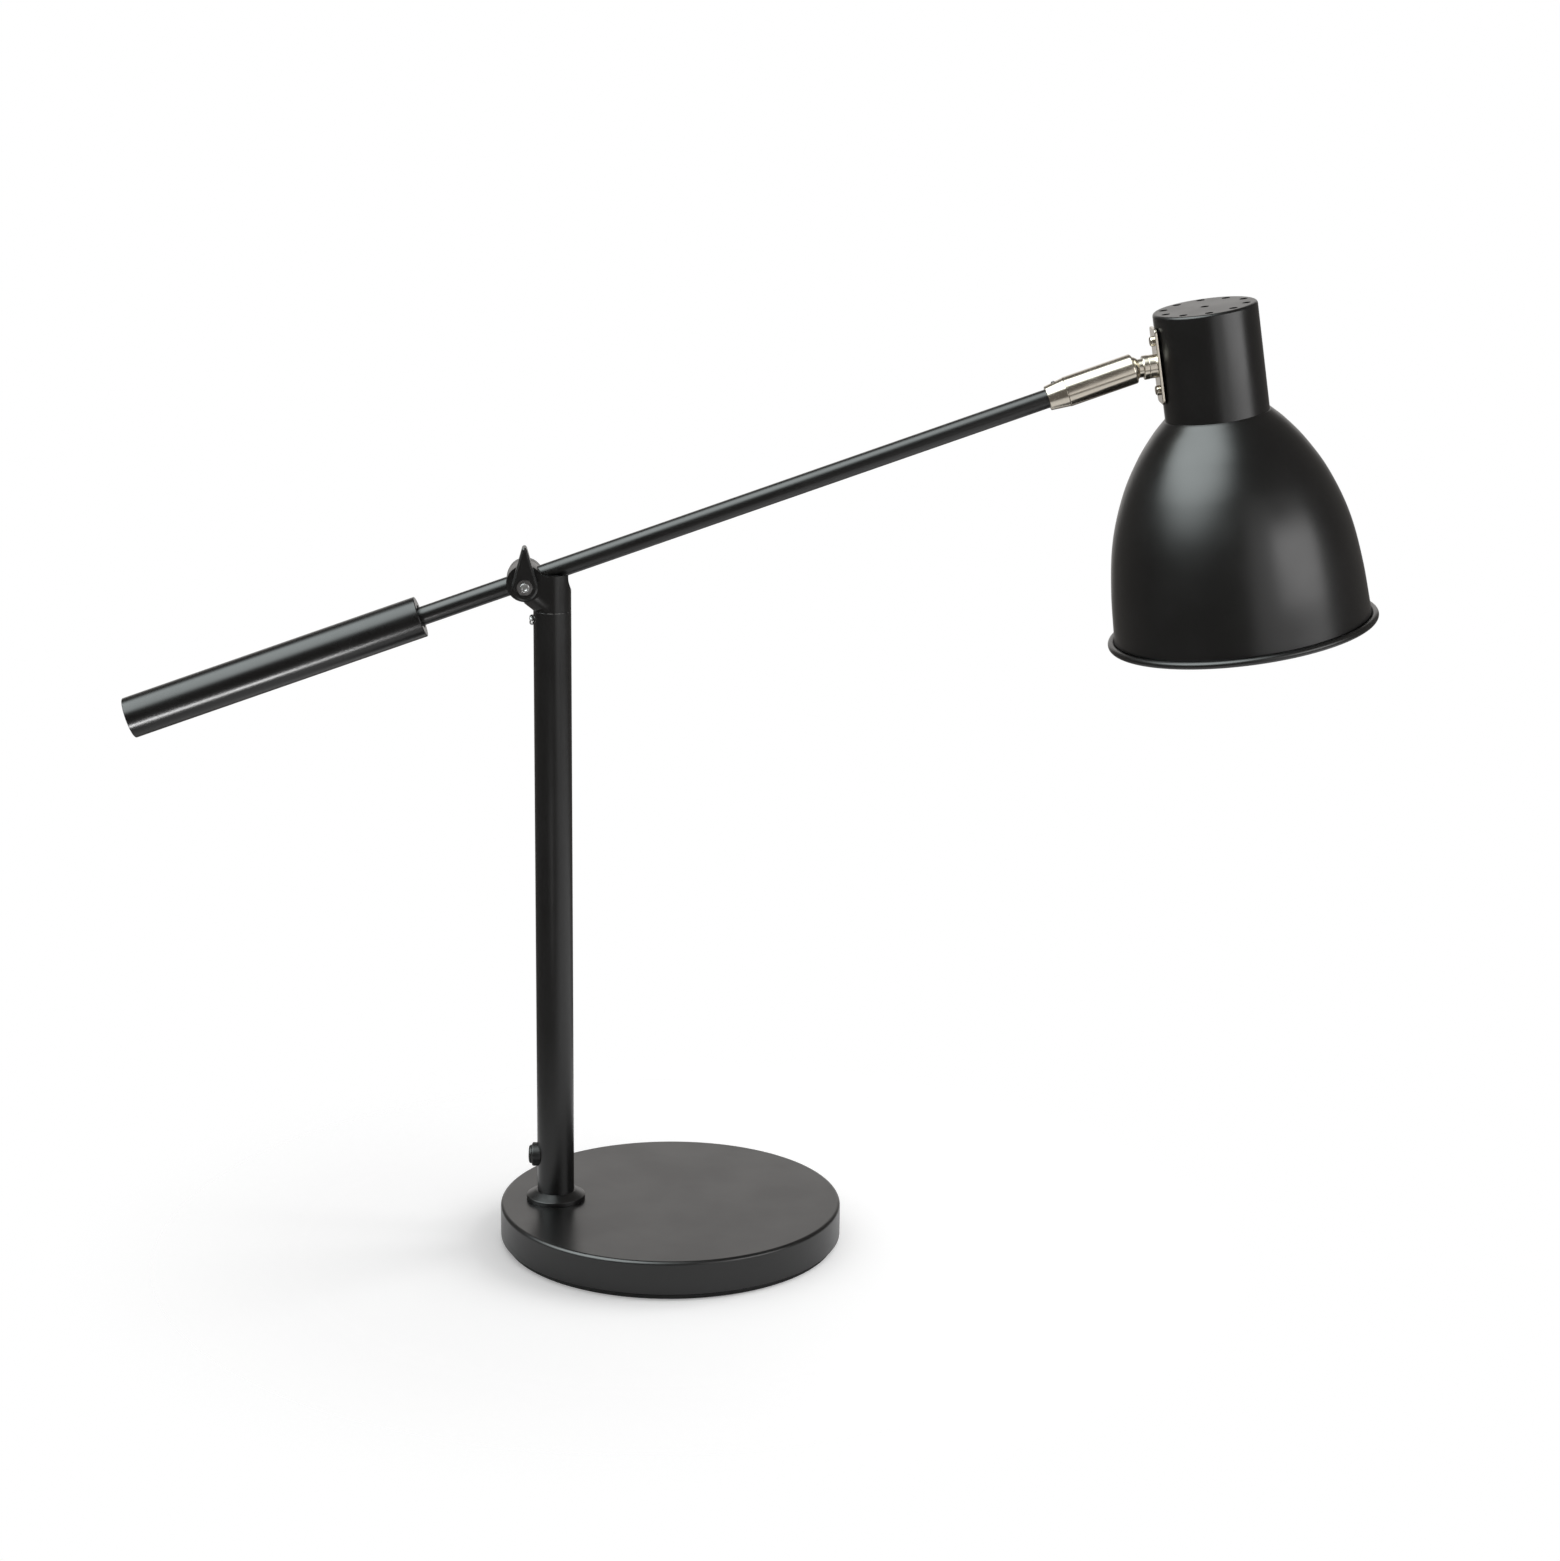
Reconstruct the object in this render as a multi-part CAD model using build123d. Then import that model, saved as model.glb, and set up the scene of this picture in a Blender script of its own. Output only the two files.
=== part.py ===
from build123d import *
import math
import os

# Counterweight balance desk lamp. Millimetres, +Z up, the arm points to +X.
# The origin is at the centre of the underside of the base, on the table.

# ---------------------------------------------------------------- base
base_diameter = 186.0
base_height = 21.6             # top of the cover above the table
cover_wall = 1.5
cover_edge_radius = 2.0
cover_lift = 3.4               # lower edge of the cover above the table
pad_thickness = 2.4
pad_inset = 2.5                # pad and closing plate inside the cover's edge
weight_gap = 0.3               # weight to the inside of the cover
weight_thickness = 12.0
weight_rim_width = 13.0
nut_recess_depth = 3.0
nut_recess_diameter = 32.0
plate_screw_count = 3
plate_screw_diameter = 4.0
plate_screw_length = 9.0
inlet_bore_diameter = 6.4      # mains lead opening in the bush
inlet_bush_diameter = 10.0
inlet_flange_diameter = 13.0
inlet_flange_thickness = 1.6
inlet_bush_length = 7.0
inlet_height = 11.5
terminal_block_size = (24.0, 12.0, 4.2)
terminal_block_place = 40.0    # from the base's centre towards the back

# ---------------------------------------------------------------- post
post_edge_distance = 30.0      # post's axis to the base's edge at -X
post_diameter = 20.0
post_wall = 1.5
post_top = 350.0               # seam between post and head
post_hidden_length = 14.0      # plug inside the foot of the post
nipple_diameter = 10.0
nipple_bore = 7.0
washer_diameter = 26.0
washer_thickness = 1.5
nipple_nut_across_flats = 14.0
nipple_nut_height = 3.0
collar_diameter = 32.0
collar_height = 5.2
collar_side = 2.4
collar_top_diameter = 21.6

# ---------------------------------------------------------------- switch
switch_height = 46.8
bezel_diameter = 13.0
bezel_reach = 2.9              # bezel stands out of the post
bezel_lip = 1.1
button_diameter = 10.2
button_reach = 1.7             # button stands out of the bezel
button_travel = 1.5
button_flange_diameter = 10.9
button_flange_depth = 2.6      # back of the button below the post's surface
button_flange_thickness = 0.8
switch_body_diameter = 11.0
switch_body_length = 7.5

# ---------------------------------------------------------------- head
head_turn = 3.5                # head and arm are swivelled this far at rest
pivot_reach = 14.1             # pivot to the post's axis
pivot_rise = 15.9              # pivot above the seam
head_rise = 19.6               # flat top of the head above the seam
drum_diameter = 19.6
head_blend = 3.0               # hollow between the drum and the flat top
spigot_length = 19.0
running_gap = 0.05
lead_bore = 9.0
arm_gap = 0.3
hub_slot = 14.6
hub_width = 13.6
friction_washer_thickness = 0.4
arm_steepest = 60.0
retaining_drop = 5.3           # head screw below the seam
retaining_screw_diameter = 3.0
retaining_head_diameter = 5.6
retaining_head_height = 1.9
groove_width = 3.4
groove_depth = 1.6
seam_overlap = 2.0             # the spigot starts this far inside the head
groove_stop = 1.0              # uncut width at the front that stops the swivel

# ---------------------------------------------------------------- clamp
bolt_diameter = 5.0
bolt_gap = 0.1
bolt_head_diameter = 9.5
bolt_head_height = 2.6
bolt_cap_diameter = 18.8
bolt_cap_height = 6.2
bolt_cap_round = 0.8
bolt_projection = 14.1         # bolt end in front of the drum
spring_washer_diameter = 9.0
spring_washer_thickness = 1.2
spacer_diameter = 10.5
spacer_length = 4.6
lever_thickness = 8.4
lever_round_diameter = 13.6
lever_tip_reach = 21.2
lever_tip_diameter = 2.6
lever_bevel = 0.9
nut_across_flats = 8.0
nut_height = 4.0
nut_recess_gap = 0.15
nut_sunk = 0.6                 # front of the nut below the lever's face

# ---------------------------------------------------------------- arm
arm_rise = 19.4                # degrees above level at rest
arm_diameter = 10.0
arm_wall = 1.0
arm_reach = 298.0              # pivot to the arm's front end
weight_bore_depth = 32.0
weight_bar_diameter = 22.0
weight_bar_length = 163.0
weight_bar_near = 58.0         # pivot to the near end of the counterweight
weight_bar_chamfer = 0.5
weight_mouth_diameter = 12.6
weight_mouth_depth = 1.2
grub_diameter = 4.0
grub_key = 2.0                 # across the flats of its hexagonal socket, and its depth
grub_length = 5.6
grub_inset = 14.0
lead_diameter = 3.0
lead_entry = 15.0
lead_entry_length = 9.0

# ---------------------------------------------------------------- swivel
cone_overlap = 8.5             # cone pushed over the arm's end
cone_small_diameter = 13.0
cone_large_diameter = 15.6
cone_length = 10.4
journal_diameter = 12.0
journal_length = 8.0
housing_diameter = 16.0
housing_length = 37.6          # with the gap to the cone
housing_round = 1.2
joint_gap = 0.1
ring_place = 5.0               # retaining ring behind the journal's shoulder
ring_width = 0.9
ring_depth = 0.8
ball_diameter = 14.0
ball_gap = 0.05
ball_setback = 3.0             # ball centre behind the housing's end face
seat_length = 8.0
disc_spring_thickness = 1.2
disc_spring_count = 3
stem_bore = 4.0
neck_diameter = 9.8
flange_start = 7.3
flange_thickness = 2.9
flange_diameter = 12.7
stem_thread_diameter = 6.0
collar_screw_diameter = 2.0

# ---------------------------------------------------------------- shade
shade_lean = 9.36              # shade's axis off upright, top towards the post
shade_roll = 1.8               # shade turned about the arm's axis at rest
stem_reach = 15.9              # ball centre to the outside of the shade's neck
shade_above_stem = 26.6
neck_clearance = 8.0           # neck to the lamp holder's shell, with the bracket nuts between
shade_wall = 1.0
shade_top_radius = 1.6
shade_height = 176.1
rim_bead_radius = 2.0
rim_radius = 72.3
bell_stations = (              # share of the height below the top, share of the way from neck to rim
    (0.325, 0.0155580), (0.363, 0.1624174), (0.432, 0.3722165), (0.534, 0.5981540),
    (0.670, 0.7853594), (0.818, 0.8773482), (0.977, 0.9176942))
vent_count = 10
vent_diameter = 4.5
vent_inset = 5.4               # vent centres inside the neck's outer face
vent_phase = 13.0

# ---------------------------------------------------------------- bracket
bracket_length = 40.0
bracket_width = 15.5
bracket_thickness = 1.5
bracket_corner = 2.5
boss_diameter = 12.4
bracket_screw_spacing = 26.0
bracket_screw_diameter = 3.0
bracket_screw_gap = 0.2
bracket_head_diameter = 5.4
bracket_head_height = 2.0
bracket_nut_flats = 5.5
bracket_nut_height = 2.4

# ---------------------------------------------------------------- lamp holder
holder_strap_width = 12.0
holder_strap_thickness = 1.5
strap_side_gap = 0.2
strap_drop = 8.0               # strap's level leg below the shade's top
holder_nipple_length = 11.0
holder_nut_flats = 13.0
holder_nut_height = 2.5
holder_cap_diameter = 36.0
holder_cap_length = 20.0
holder_shell_diameter = 39.0
holder_shell_length = 29.0
holder_wall = 2.0
screw_shell_diameter = 28.4
screw_shell_wall = 0.6
screw_shell_length = 23.0
insulator_thickness = 5.0
contact_width = 6.0
bulb_cap_diameter = 26.4
bulb_cap_length = 24.0
bulb_diameter = 60.0
bulb_neck_diameter = 27.0
bulb_length = 90.0             # glass, from the cap to its crown
bulb_wall = 1.2
bulb_taper_length = 18.0
bulb_taper_flare = 3.2
bulb_flank = 28.0              # degrees above the bulb's widest place

# ---------------------------------------------------------------- derived
base_radius = base_diameter / 2
pad_radius = base_radius - pad_inset
post_offset = base_radius - post_edge_distance
post_radius = post_diameter / 2
post_bore = post_radius - post_wall
drum_radius = drum_diameter / 2
arm_radius = arm_diameter / 2
slot_half = arm_radius + arm_gap
pivot_z = post_top + pivot_rise
pivot_x = -post_offset - pivot_reach
cone_start = arm_reach - cone_overlap
housing_end = cone_start + cone_length + housing_length
ball_at = housing_end - ball_setback
ball_radius = ball_diameter / 2
neck_shade_radius = holder_shell_diameter / 2 + neck_clearance
shade_reach = neck_shade_radius + stem_reach
vent_circle_radius = neck_shade_radius - vent_inset
weight_bar_far = weight_bar_near + weight_bar_length
weight_floor = base_height - cover_wall - weight_thickness
lean_in_arm = arm_rise - shade_lean
bracket_outer = shade_reach - neck_shade_radius - bracket_thickness

# Places of the moving assemblies.
head_place = Pos(-post_offset, 0, 0) * Rot(0, 0, head_turn) * Pos(post_offset, 0, 0)
arm_place = head_place * Pos(pivot_x, 0, pivot_z) * Rot(0, -arm_rise, 0)
swivel_place = arm_place * Rot(shade_roll, 0, 0)
shade_place = swivel_place * Pos(ball_at, 0, 0) * Rot(0, lean_in_arm, 0)
lamp_place = shade_place * Pos(shade_reach, 0, shade_above_stem)
switch_place = Pos(-post_offset, 0, switch_height) * Rot(0, -90, 0)


def save(name, part):
    """Write one node, a solid or a group of solids, to its STEP file."""
    part.label = name
    export_step(part, f"parts/{name}.step")


def turned(points):
    """Solid of revolution about Z from (radius, z) points joined by straight lines."""
    return revolve(make_face(Plane.XZ * Polyline(*points, close=True)), Axis.Z)


def rod(radius, low, high):
    """Cylinder about Z from one height to another."""
    return Pos(0, 0, low) * Cylinder(radius, high - low, align=(Align.CENTER, Align.CENTER, Align.MIN))


def pipe(outer, inner, low, high):
    """Tube about Z."""
    return rod(outer, low, high) - rod(inner, low - 1, high + 1)


def along_x(part):
    """Turn a part made about Z so that its axis lies along +X."""
    return Rot(0, 90, 0) * part


def along_y(part):
    """Turn a part made about Z so that its axis lies along -Y, towards the front."""
    return Rot(90, 0, 0) * part


def hex_prism(across_flats, low, high):
    """Hexagonal prism about Z."""
    sketch = RegularPolygon(across_flats / 2, 6, major_radius=False)
    return Pos(0, 0, low) * extrude(sketch, high - low)


def round_head(radius, height, crown=0.6):
    """Pan head about Z, its seat at z = 0, with a rounded edge."""
    head = rod(radius, 0, height)
    return fillet(head.edges().group_by(Axis.Z)[-1], min(crown * height, radius * 0.9))


# ---------------------------------------------------------------- base parts
def foot_pad():
    """Soft pad under the closing plate."""
    return rod(pad_radius, 0, pad_thickness)


def plate_screw_places():
    """Centres of the closing plate's screws."""
    return PolarLocations(base_radius - cover_wall - weight_rim_width / 2 - weight_gap, plate_screw_count)


def closing_plate():
    """Steel plate that closes the base from below."""
    plate = rod(pad_radius, pad_thickness, cover_lift)
    holes = [place * rod(plate_screw_diameter / 2 + bolt_gap, 0, cover_lift + 1) for place in plate_screw_places()]
    return plate - holes


def plate_screws():
    """Screws through the closing plate into the weight's rim."""
    shank = rod(plate_screw_diameter / 2, pad_thickness, cover_lift + plate_screw_length)
    return Compound(children=[place * shank for place in plate_screw_places()])


def base_weight():
    """Cast disc with a deeper rim, a nut recess below the post and a wiring hollow."""
    outer = base_radius - cover_wall - weight_gap
    top = base_height - cover_wall
    inner = outer - weight_rim_width
    body = turned([(0, weight_floor), (inner, weight_floor), (inner, cover_lift), (outer, cover_lift),
                   (outer, top - cover_edge_radius), (outer - cover_edge_radius, top), (0, top)])
    post = Pos(-post_offset, 0, 0)
    body -= post * rod(nut_recess_diameter / 2, 0, weight_floor + nut_recess_depth)
    body -= post * rod(nipple_diameter / 2 + bolt_gap, 0, base_height)
    hollow_top = inlet_height + inlet_bush_diameter / 2 + weight_gap
    body -= Pos(0, inner - inlet_bush_length, cover_lift) * Box(
        inlet_bush_diameter + 1, weight_rim_width + 2 * inlet_bush_length, hollow_top - cover_lift,
        align=(Align.CENTER, Align.MIN, Align.MIN))
    for place in plate_screw_places():
        body -= place * rod(plate_screw_diameter / 2, 0, cover_lift + plate_screw_length)
    return body


def base_cover():
    """Deep-drawn cover with a rounded top edge and holes for the post and the inlet."""
    outer = rod(base_radius, cover_lift, base_height)
    outer = fillet(outer.edges().group_by(Axis.Z)[-1], cover_edge_radius)
    body = outer - rod(base_radius - cover_wall, 0, base_height - cover_wall)
    body -= Pos(-post_offset, 0, 0) * rod(nipple_diameter / 2 + bolt_gap, 0, base_height + 1)
    body -= inlet_place() * rod(inlet_bush_diameter / 2, -inlet_bush_length, 1)
    return body


def inlet_place():
    """Frame of the lead inlet at the back of the base, its Z pointing out."""
    return Pos(0, base_radius, inlet_height) * Rot(-90, 0, 0)


def inlet_bush():
    """Flanged bush that lines the lead inlet."""
    bush = rod(inlet_bush_diameter / 2, cover_wall - inlet_bush_length, 0.1)
    bush += rod(inlet_flange_diameter / 2, 0.1, inlet_flange_thickness)
    bush -= rod(inlet_bore_diameter / 2, -inlet_bush_length, inlet_flange_thickness + 1)
    return inlet_place() * bush


def terminal_block():
    """Terminal block on the underside of the weight, where the mains lead ends."""
    length, width, height = terminal_block_size
    block = Box(length, width, height, align=(Align.CENTER, Align.CENTER, Align.MAX))
    screws = [Pos(x, 0, -height) * Cylinder(2.0, 3.0) for x in (-length / 4, length / 4)]
    return Pos(0, terminal_block_place, weight_floor) * (block - screws)


# ---------------------------------------------------------------- post parts
def post_tube():
    """Post with the switch opening and the head screw's hole in its -X side."""
    tube = pipe(post_radius, post_bore, base_height, post_top)
    tube = Pos(-post_offset, 0, 0) * tube
    tube -= switch_place * rod(switch_body_diameter / 2 + bolt_gap, 0, post_radius + 2)
    tube -= head_screw_place() * rod(retaining_screw_diameter / 2, -post_radius, 2)
    return tube


def foot_plug():
    """Threaded plug fixed in the foot of the post."""
    return Pos(-post_offset, 0, 0) * pipe(post_bore, nipple_diameter / 2, base_height, base_height + post_hidden_length)


def foot_nipple():
    """Hollow threaded rod that ties post, cover and weight together."""
    low = weight_floor + nut_recess_depth - washer_thickness - nipple_nut_height - 0.4
    return Pos(-post_offset, 0, 0) * pipe(
        nipple_diameter / 2, nipple_bore / 2, low, base_height + post_hidden_length - 2)


def foot_washer():
    """Washer under the weight."""
    seat = weight_floor + nut_recess_depth
    return Pos(-post_offset, 0, 0) * pipe(
        washer_diameter / 2, nipple_diameter / 2 + bolt_gap, seat - washer_thickness, seat)


def foot_nut():
    """Thin hexagonal nut that pulls the nipple down."""
    top = weight_floor + nut_recess_depth - washer_thickness
    nut = hex_prism(nipple_nut_across_flats, top - nipple_nut_height, top) - rod(nipple_diameter / 2, 0, top + 1)
    return Pos(-post_offset, 0, 0) * nut


def post_collar():
    """Bevelled ring round the foot of the post."""
    bore = post_radius + running_gap
    profile = [(bore, base_height), (collar_diameter / 2, base_height),
               (collar_diameter / 2, base_height + collar_side),
               (collar_top_diameter / 2, base_height + collar_height), (bore, base_height + collar_height)]
    return Pos(-post_offset, 0, 0) * turned(profile)


# ---------------------------------------------------------------- switch parts
def switch_bezel():
    """Round bezel, saddled on the post, that guides the button."""
    outer = rod(bezel_diameter / 2, 0, post_radius + bezel_reach)
    outer = fillet(outer.edges().group_by(Axis.Z)[-1], bezel_lip * 0.8)
    outer -= rod(button_diameter / 2 + running_gap, -1, post_radius + bezel_reach + 1)
    bezel = switch_place * outer
    return bezel - Pos(-post_offset, 0, switch_height) * Cylinder(post_radius, 4 * bezel_diameter)


def switch_body():
    """Push switch held in the post behind the bezel."""
    front = post_radius - button_flange_depth - button_travel - 0.3
    body = rod(switch_body_diameter / 2, front - switch_body_length, front)
    tag = rod(0.9, front - switch_body_length - 1.5, front - switch_body_length)
    body += [Pos(0, y, 0) * tag for y in (-3, 3)]
    return switch_place * body


def switch_button():
    """Button with a crowned face."""
    top = post_radius + bezel_reach + button_reach
    back = post_radius - button_flange_depth
    button = rod(button_diameter / 2, back, top)
    button = fillet(button.edges().group_by(Axis.Z)[-1], button_reach * 0.75)
    button += rod(button_flange_diameter / 2, back, back + button_flange_thickness)
    return switch_place * button


# ---------------------------------------------------------------- head parts
def head_screw_place():
    """Frame of the screw that holds the head in the post, its Z pointing out."""
    return Pos(-post_offset - post_radius, 0, post_top - retaining_drop) * Rot(0, -90, 0)


def head_screw():
    """Round-headed screw whose tip runs in the spigot's groove."""
    screw = round_head(retaining_head_diameter / 2, retaining_head_height)
    screw = Pos(0, 0, 0.1) * screw
    screw += rod(retaining_screw_diameter / 2, -post_wall - groove_depth + 0.4, 0.2)
    screw -= Pos(0, 0, retaining_head_height) * Box(0.8, retaining_head_diameter, 1.2)
    return head_screw_place() * screw


def web_line():
    """Lower corner of the web, where its underside touches the drum, and its heading."""
    reach = math.hypot(pivot_reach - post_radius, pivot_rise)
    bearing = math.atan2(pivot_rise, post_radius - pivot_reach)
    run = math.sqrt(reach ** 2 - drum_radius ** 2)
    heading = bearing + math.asin(drum_radius / reach)
    corner = (-post_offset - post_radius, post_top)
    touch = (corner[0] + run * math.cos(heading), corner[1] + run * math.sin(heading))
    return corner, touch, heading


def head_outline():
    """Side view of the head: round drum end, web and the top of the post."""
    corner, touch, _ = web_line()
    top = post_top + head_rise
    web = make_face(Polyline(corner, touch, (pivot_x, pivot_z), (corner[0], top), close=True))
    trunk = Pos(-post_offset, (post_top + top) / 2) * Rectangle(post_diameter, head_rise)
    outline = web + trunk + Pos(pivot_x, pivot_z) * Circle(drum_radius)
    notch = pivot_x + math.sqrt(drum_radius ** 2 - (top - pivot_z) ** 2)
    return fillet(outline.vertices().sort_by_distance((notch, top))[0], head_blend)


def below_web():
    """What is taken off under the web so that its underside is round like the post."""
    corner, _, heading = web_line()
    across = (math.sin(heading), -math.cos(heading))
    place = Pos(corner[0] + post_radius * across[0], 0, corner[1] + post_radius * across[1])
    place *= Rot(0, 90 - math.degrees(heading), 0)
    long = 4 * post_diameter
    block = Box(2 * post_diameter, 2 * post_diameter, long, align=(Align.MAX, Align.CENTER, Align.CENTER))
    return place * (block - Cylinder(post_radius, long))


def pivot_head():
    """Forked head that swivels in the post and carries the arm's hub."""
    side = extrude(Plane.XZ * head_outline(), post_diameter, both=True)
    plan = Circle(post_radius) + Pos(-post_diameter, 0) * Rectangle(2 * post_diameter, post_diameter)
    slab = side & Pos(-post_offset, 0, 0) * extrude(plan, 2 * post_top)
    pivot = Pos(pivot_x, 0, pivot_z)
    hollow = below_web() - pivot * along_y(Cylinder(drum_radius, 3 * post_diameter))
    hollow -= Pos(-post_offset, 0, 0) * rod(post_radius, post_top - post_diameter, post_top + 2 * post_diameter)
    body = slab - hollow
    spigot = rod(post_bore - running_gap, post_top - spigot_length, post_top + seam_overlap)
    groove = pipe(post_radius, post_bore - groove_depth, post_top - retaining_drop - groove_width / 2,
                  post_top - retaining_drop + groove_width / 2)
    groove -= Pos(post_bore, 0, post_top) * Box(post_bore, groove_stop, 2 * spigot_length)
    body += Pos(-post_offset, 0, 0) * (spigot - groove)
    body -= Pos(-post_offset, 0, 0) * rod(lead_bore / 2, post_top - spigot_length - 1, pivot_z)
    trough = along_x(rod(slot_half, 0, 3 * post_diameter))
    trough += Box(3 * post_diameter, 2 * slot_half, post_diameter, align=(Align.MIN, Align.CENTER, Align.MIN))
    body -= pivot * trough
    body -= pivot * along_y(Cylinder(drum_radius + arm_gap, hub_slot))
    body -= pivot * arm_sweep()
    body -= pivot * along_y(Cylinder(bolt_diameter / 2 + bolt_gap, 2 * post_diameter))
    return body


def arm_sweep():
    """Room for the rear of the arm between level and its steepest place."""
    steep = math.radians(180 + arm_steepest)
    reach = 3 * post_diameter
    edge = (slot_half * math.cos(steep + math.pi / 2), slot_half * math.sin(steep + math.pi / 2))
    far = (edge[0] + reach * math.cos(steep), edge[1] + reach * math.sin(steep))
    outline = Polyline((0, slot_half), (-reach, slot_half), (-reach, far[1]), far, edge, close=True)
    return extrude(Plane.XZ * make_face(outline), slot_half, both=True)


def friction_washers():
    """Thin washers between the hub and the head's cheeks."""
    ring = pipe(drum_radius - 1.0, bolt_diameter / 2 + bolt_gap, 0, friction_washer_thickness)
    front = along_y(Pos(0, 0, hub_slot / 2 - friction_washer_thickness) * ring)
    back = along_y(Pos(0, 0, -hub_slot / 2) * ring)
    return Pos(pivot_x, 0, pivot_z) * Compound(children=[front, back])


def pivot_bolt():
    """Bolt through cheeks, hub and arm, its head at the back."""
    bolt = rod(bolt_diameter / 2, -post_radius - 0.5, post_radius + bolt_projection)
    bolt += Pos(0, 0, -post_radius) * Rot(180, 0, 0) * round_head(bolt_head_diameter / 2, bolt_head_height)
    bolt -= Pos(0, 0, -post_radius - bolt_head_height) * hex_prism(3.0, -1, 1.2)
    return Pos(pivot_x, 0, pivot_z) * along_y(bolt)


def bolt_cap():
    """Round cap over the bolt's head."""
    cap = rod(bolt_cap_diameter / 2, post_radius, post_radius + bolt_cap_height)
    cap = fillet(cap.edges().group_by(Axis.Z)[-1], bolt_cap_round)
    cap -= rod(bolt_head_diameter / 2 + bolt_gap, 0, post_radius + bolt_head_height + bolt_gap)
    return Pos(pivot_x, 0, pivot_z) * Rot(-90, 0, 0) * cap


def clamp_spacer():
    """Stepped spacer between the front cheek and the lever."""
    ring = pipe(spacer_diameter / 2, bolt_diameter / 2 + bolt_gap, 0, spacer_length - spring_washer_thickness)
    return Pos(pivot_x, 0, pivot_z) * along_y(Pos(0, 0, post_radius) * ring)


def clamp_spring_washer():
    """Spring washer under the lever."""
    start = post_radius + spacer_length - spring_washer_thickness
    ring = pipe(spring_washer_diameter / 2, bolt_diameter / 2 + bolt_gap, start,
                start + spring_washer_thickness - running_gap)
    return Pos(pivot_x, 0, pivot_z) * along_y(ring)


def lever_outline():
    """Teardrop from a round end to a small tip, pointing along +Y of the sketch."""
    big = Circle(lever_round_diameter / 2)
    tip = Pos(0, lever_tip_reach - lever_tip_diameter / 2) * Circle(lever_tip_diameter / 2)
    return make_hull((big + tip).edges())


def clamp_lever():
    """Teardrop lever with bevelled edges and a hexagonal recess for its nut."""
    start = post_radius + spacer_length
    body = Pos(0, 0, start) * extrude(lever_outline(), lever_thickness)
    body = chamfer(body.edges().group_by(Axis.Z)[-1], lever_bevel)
    face = start + lever_thickness
    flats = nut_across_flats + 2 * nut_recess_gap
    body -= hex_prism(flats, face - nut_height - nut_sunk, face + 1)
    body -= rod(bolt_diameter / 2 + bolt_gap, 0, face + 1)
    return Pos(pivot_x, 0, pivot_z) * along_y(body)


def lever_nut():
    """Hexagonal nut sunk in the lever."""
    face = post_radius + spacer_length + lever_thickness - nut_sunk
    nut = hex_prism(nut_across_flats, face - nut_height, face)
    nut = nut & (Pos(0, 0, face - nut_height) * chamfered_disc(nut_across_flats / 2 * 1.12, nut_height))
    nut -= rod(bolt_diameter / 2 + running_gap, 0, face + 1)
    return Pos(pivot_x, 0, pivot_z) * along_y(nut)


def chamfered_disc(radius, height):
    """Disc whose upper edge is bevelled, for the corners of a nut."""
    disc = rod(radius, 0, height)
    return chamfer(disc.edges().group_by(Axis.Z)[-1], height * 0.18)


# ---------------------------------------------------------------- arm parts, made along +X from the pivot
def arm_hub():
    """Drum that holds the arm between the head's cheeks."""
    hub = along_y(Cylinder(drum_radius, hub_width))
    hub -= along_x(Cylinder(arm_radius, 3 * drum_diameter))
    hub -= along_y(Cylinder(bolt_diameter / 2 + bolt_gap, 2 * hub_width))
    return hub


def arm_tube():
    """Arm with a cross hole for the bolt and a slot below for the lead."""
    tube = along_x(pipe(arm_radius, arm_radius - arm_wall, -weight_bar_near - weight_bore_depth, arm_reach))
    tube -= along_y(Cylinder(bolt_diameter / 2 + bolt_gap, 2 * arm_diameter))
    slot = Pos(lead_entry, 0, -arm_radius) * Box(lead_entry_length, lead_diameter + 1, 2 * arm_wall + 1)
    return tube - slot


def counterweight():
    """Solid round bar bored for the arm, with a relieved mouth."""
    bar = rod(weight_bar_diameter / 2, -weight_bar_far, -weight_bar_near)
    bar = chamfer(bar.edges().group_by(Axis.Z)[0] + bar.edges().group_by(Axis.Z)[-1], weight_bar_chamfer)
    bar -= rod(arm_radius, -weight_bar_near - weight_bore_depth, 0)
    bar -= rod(weight_mouth_diameter / 2, -weight_bar_near - weight_mouth_depth, 0)
    bar = along_x(bar)
    return bar - Pos(-weight_bar_near - grub_inset, 0, 0) * rod(grub_diameter / 2, -weight_bar_diameter, 0)


def counterweight_grub():
    """Grub screw that fixes the counterweight on the arm, from below."""
    grub = rod(grub_diameter / 2 - running_gap, -arm_radius - grub_length, -arm_radius)
    end = -arm_radius - grub_length
    grub -= hex_prism(grub_key, end - grub_key, end + grub_key)
    return Pos(-weight_bar_near - grub_inset, 0, 0) * grub


def arm_lead():
    """Lead in the arm, from its slot to the swivel."""
    drop = arm_radius - arm_wall - lead_diameter / 2 - 0.2
    start = lead_entry - lead_entry_length / 2
    return Pos(0, 0, -drop) * along_x(rod(lead_diameter / 2, start, arm_reach - 1))


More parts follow.
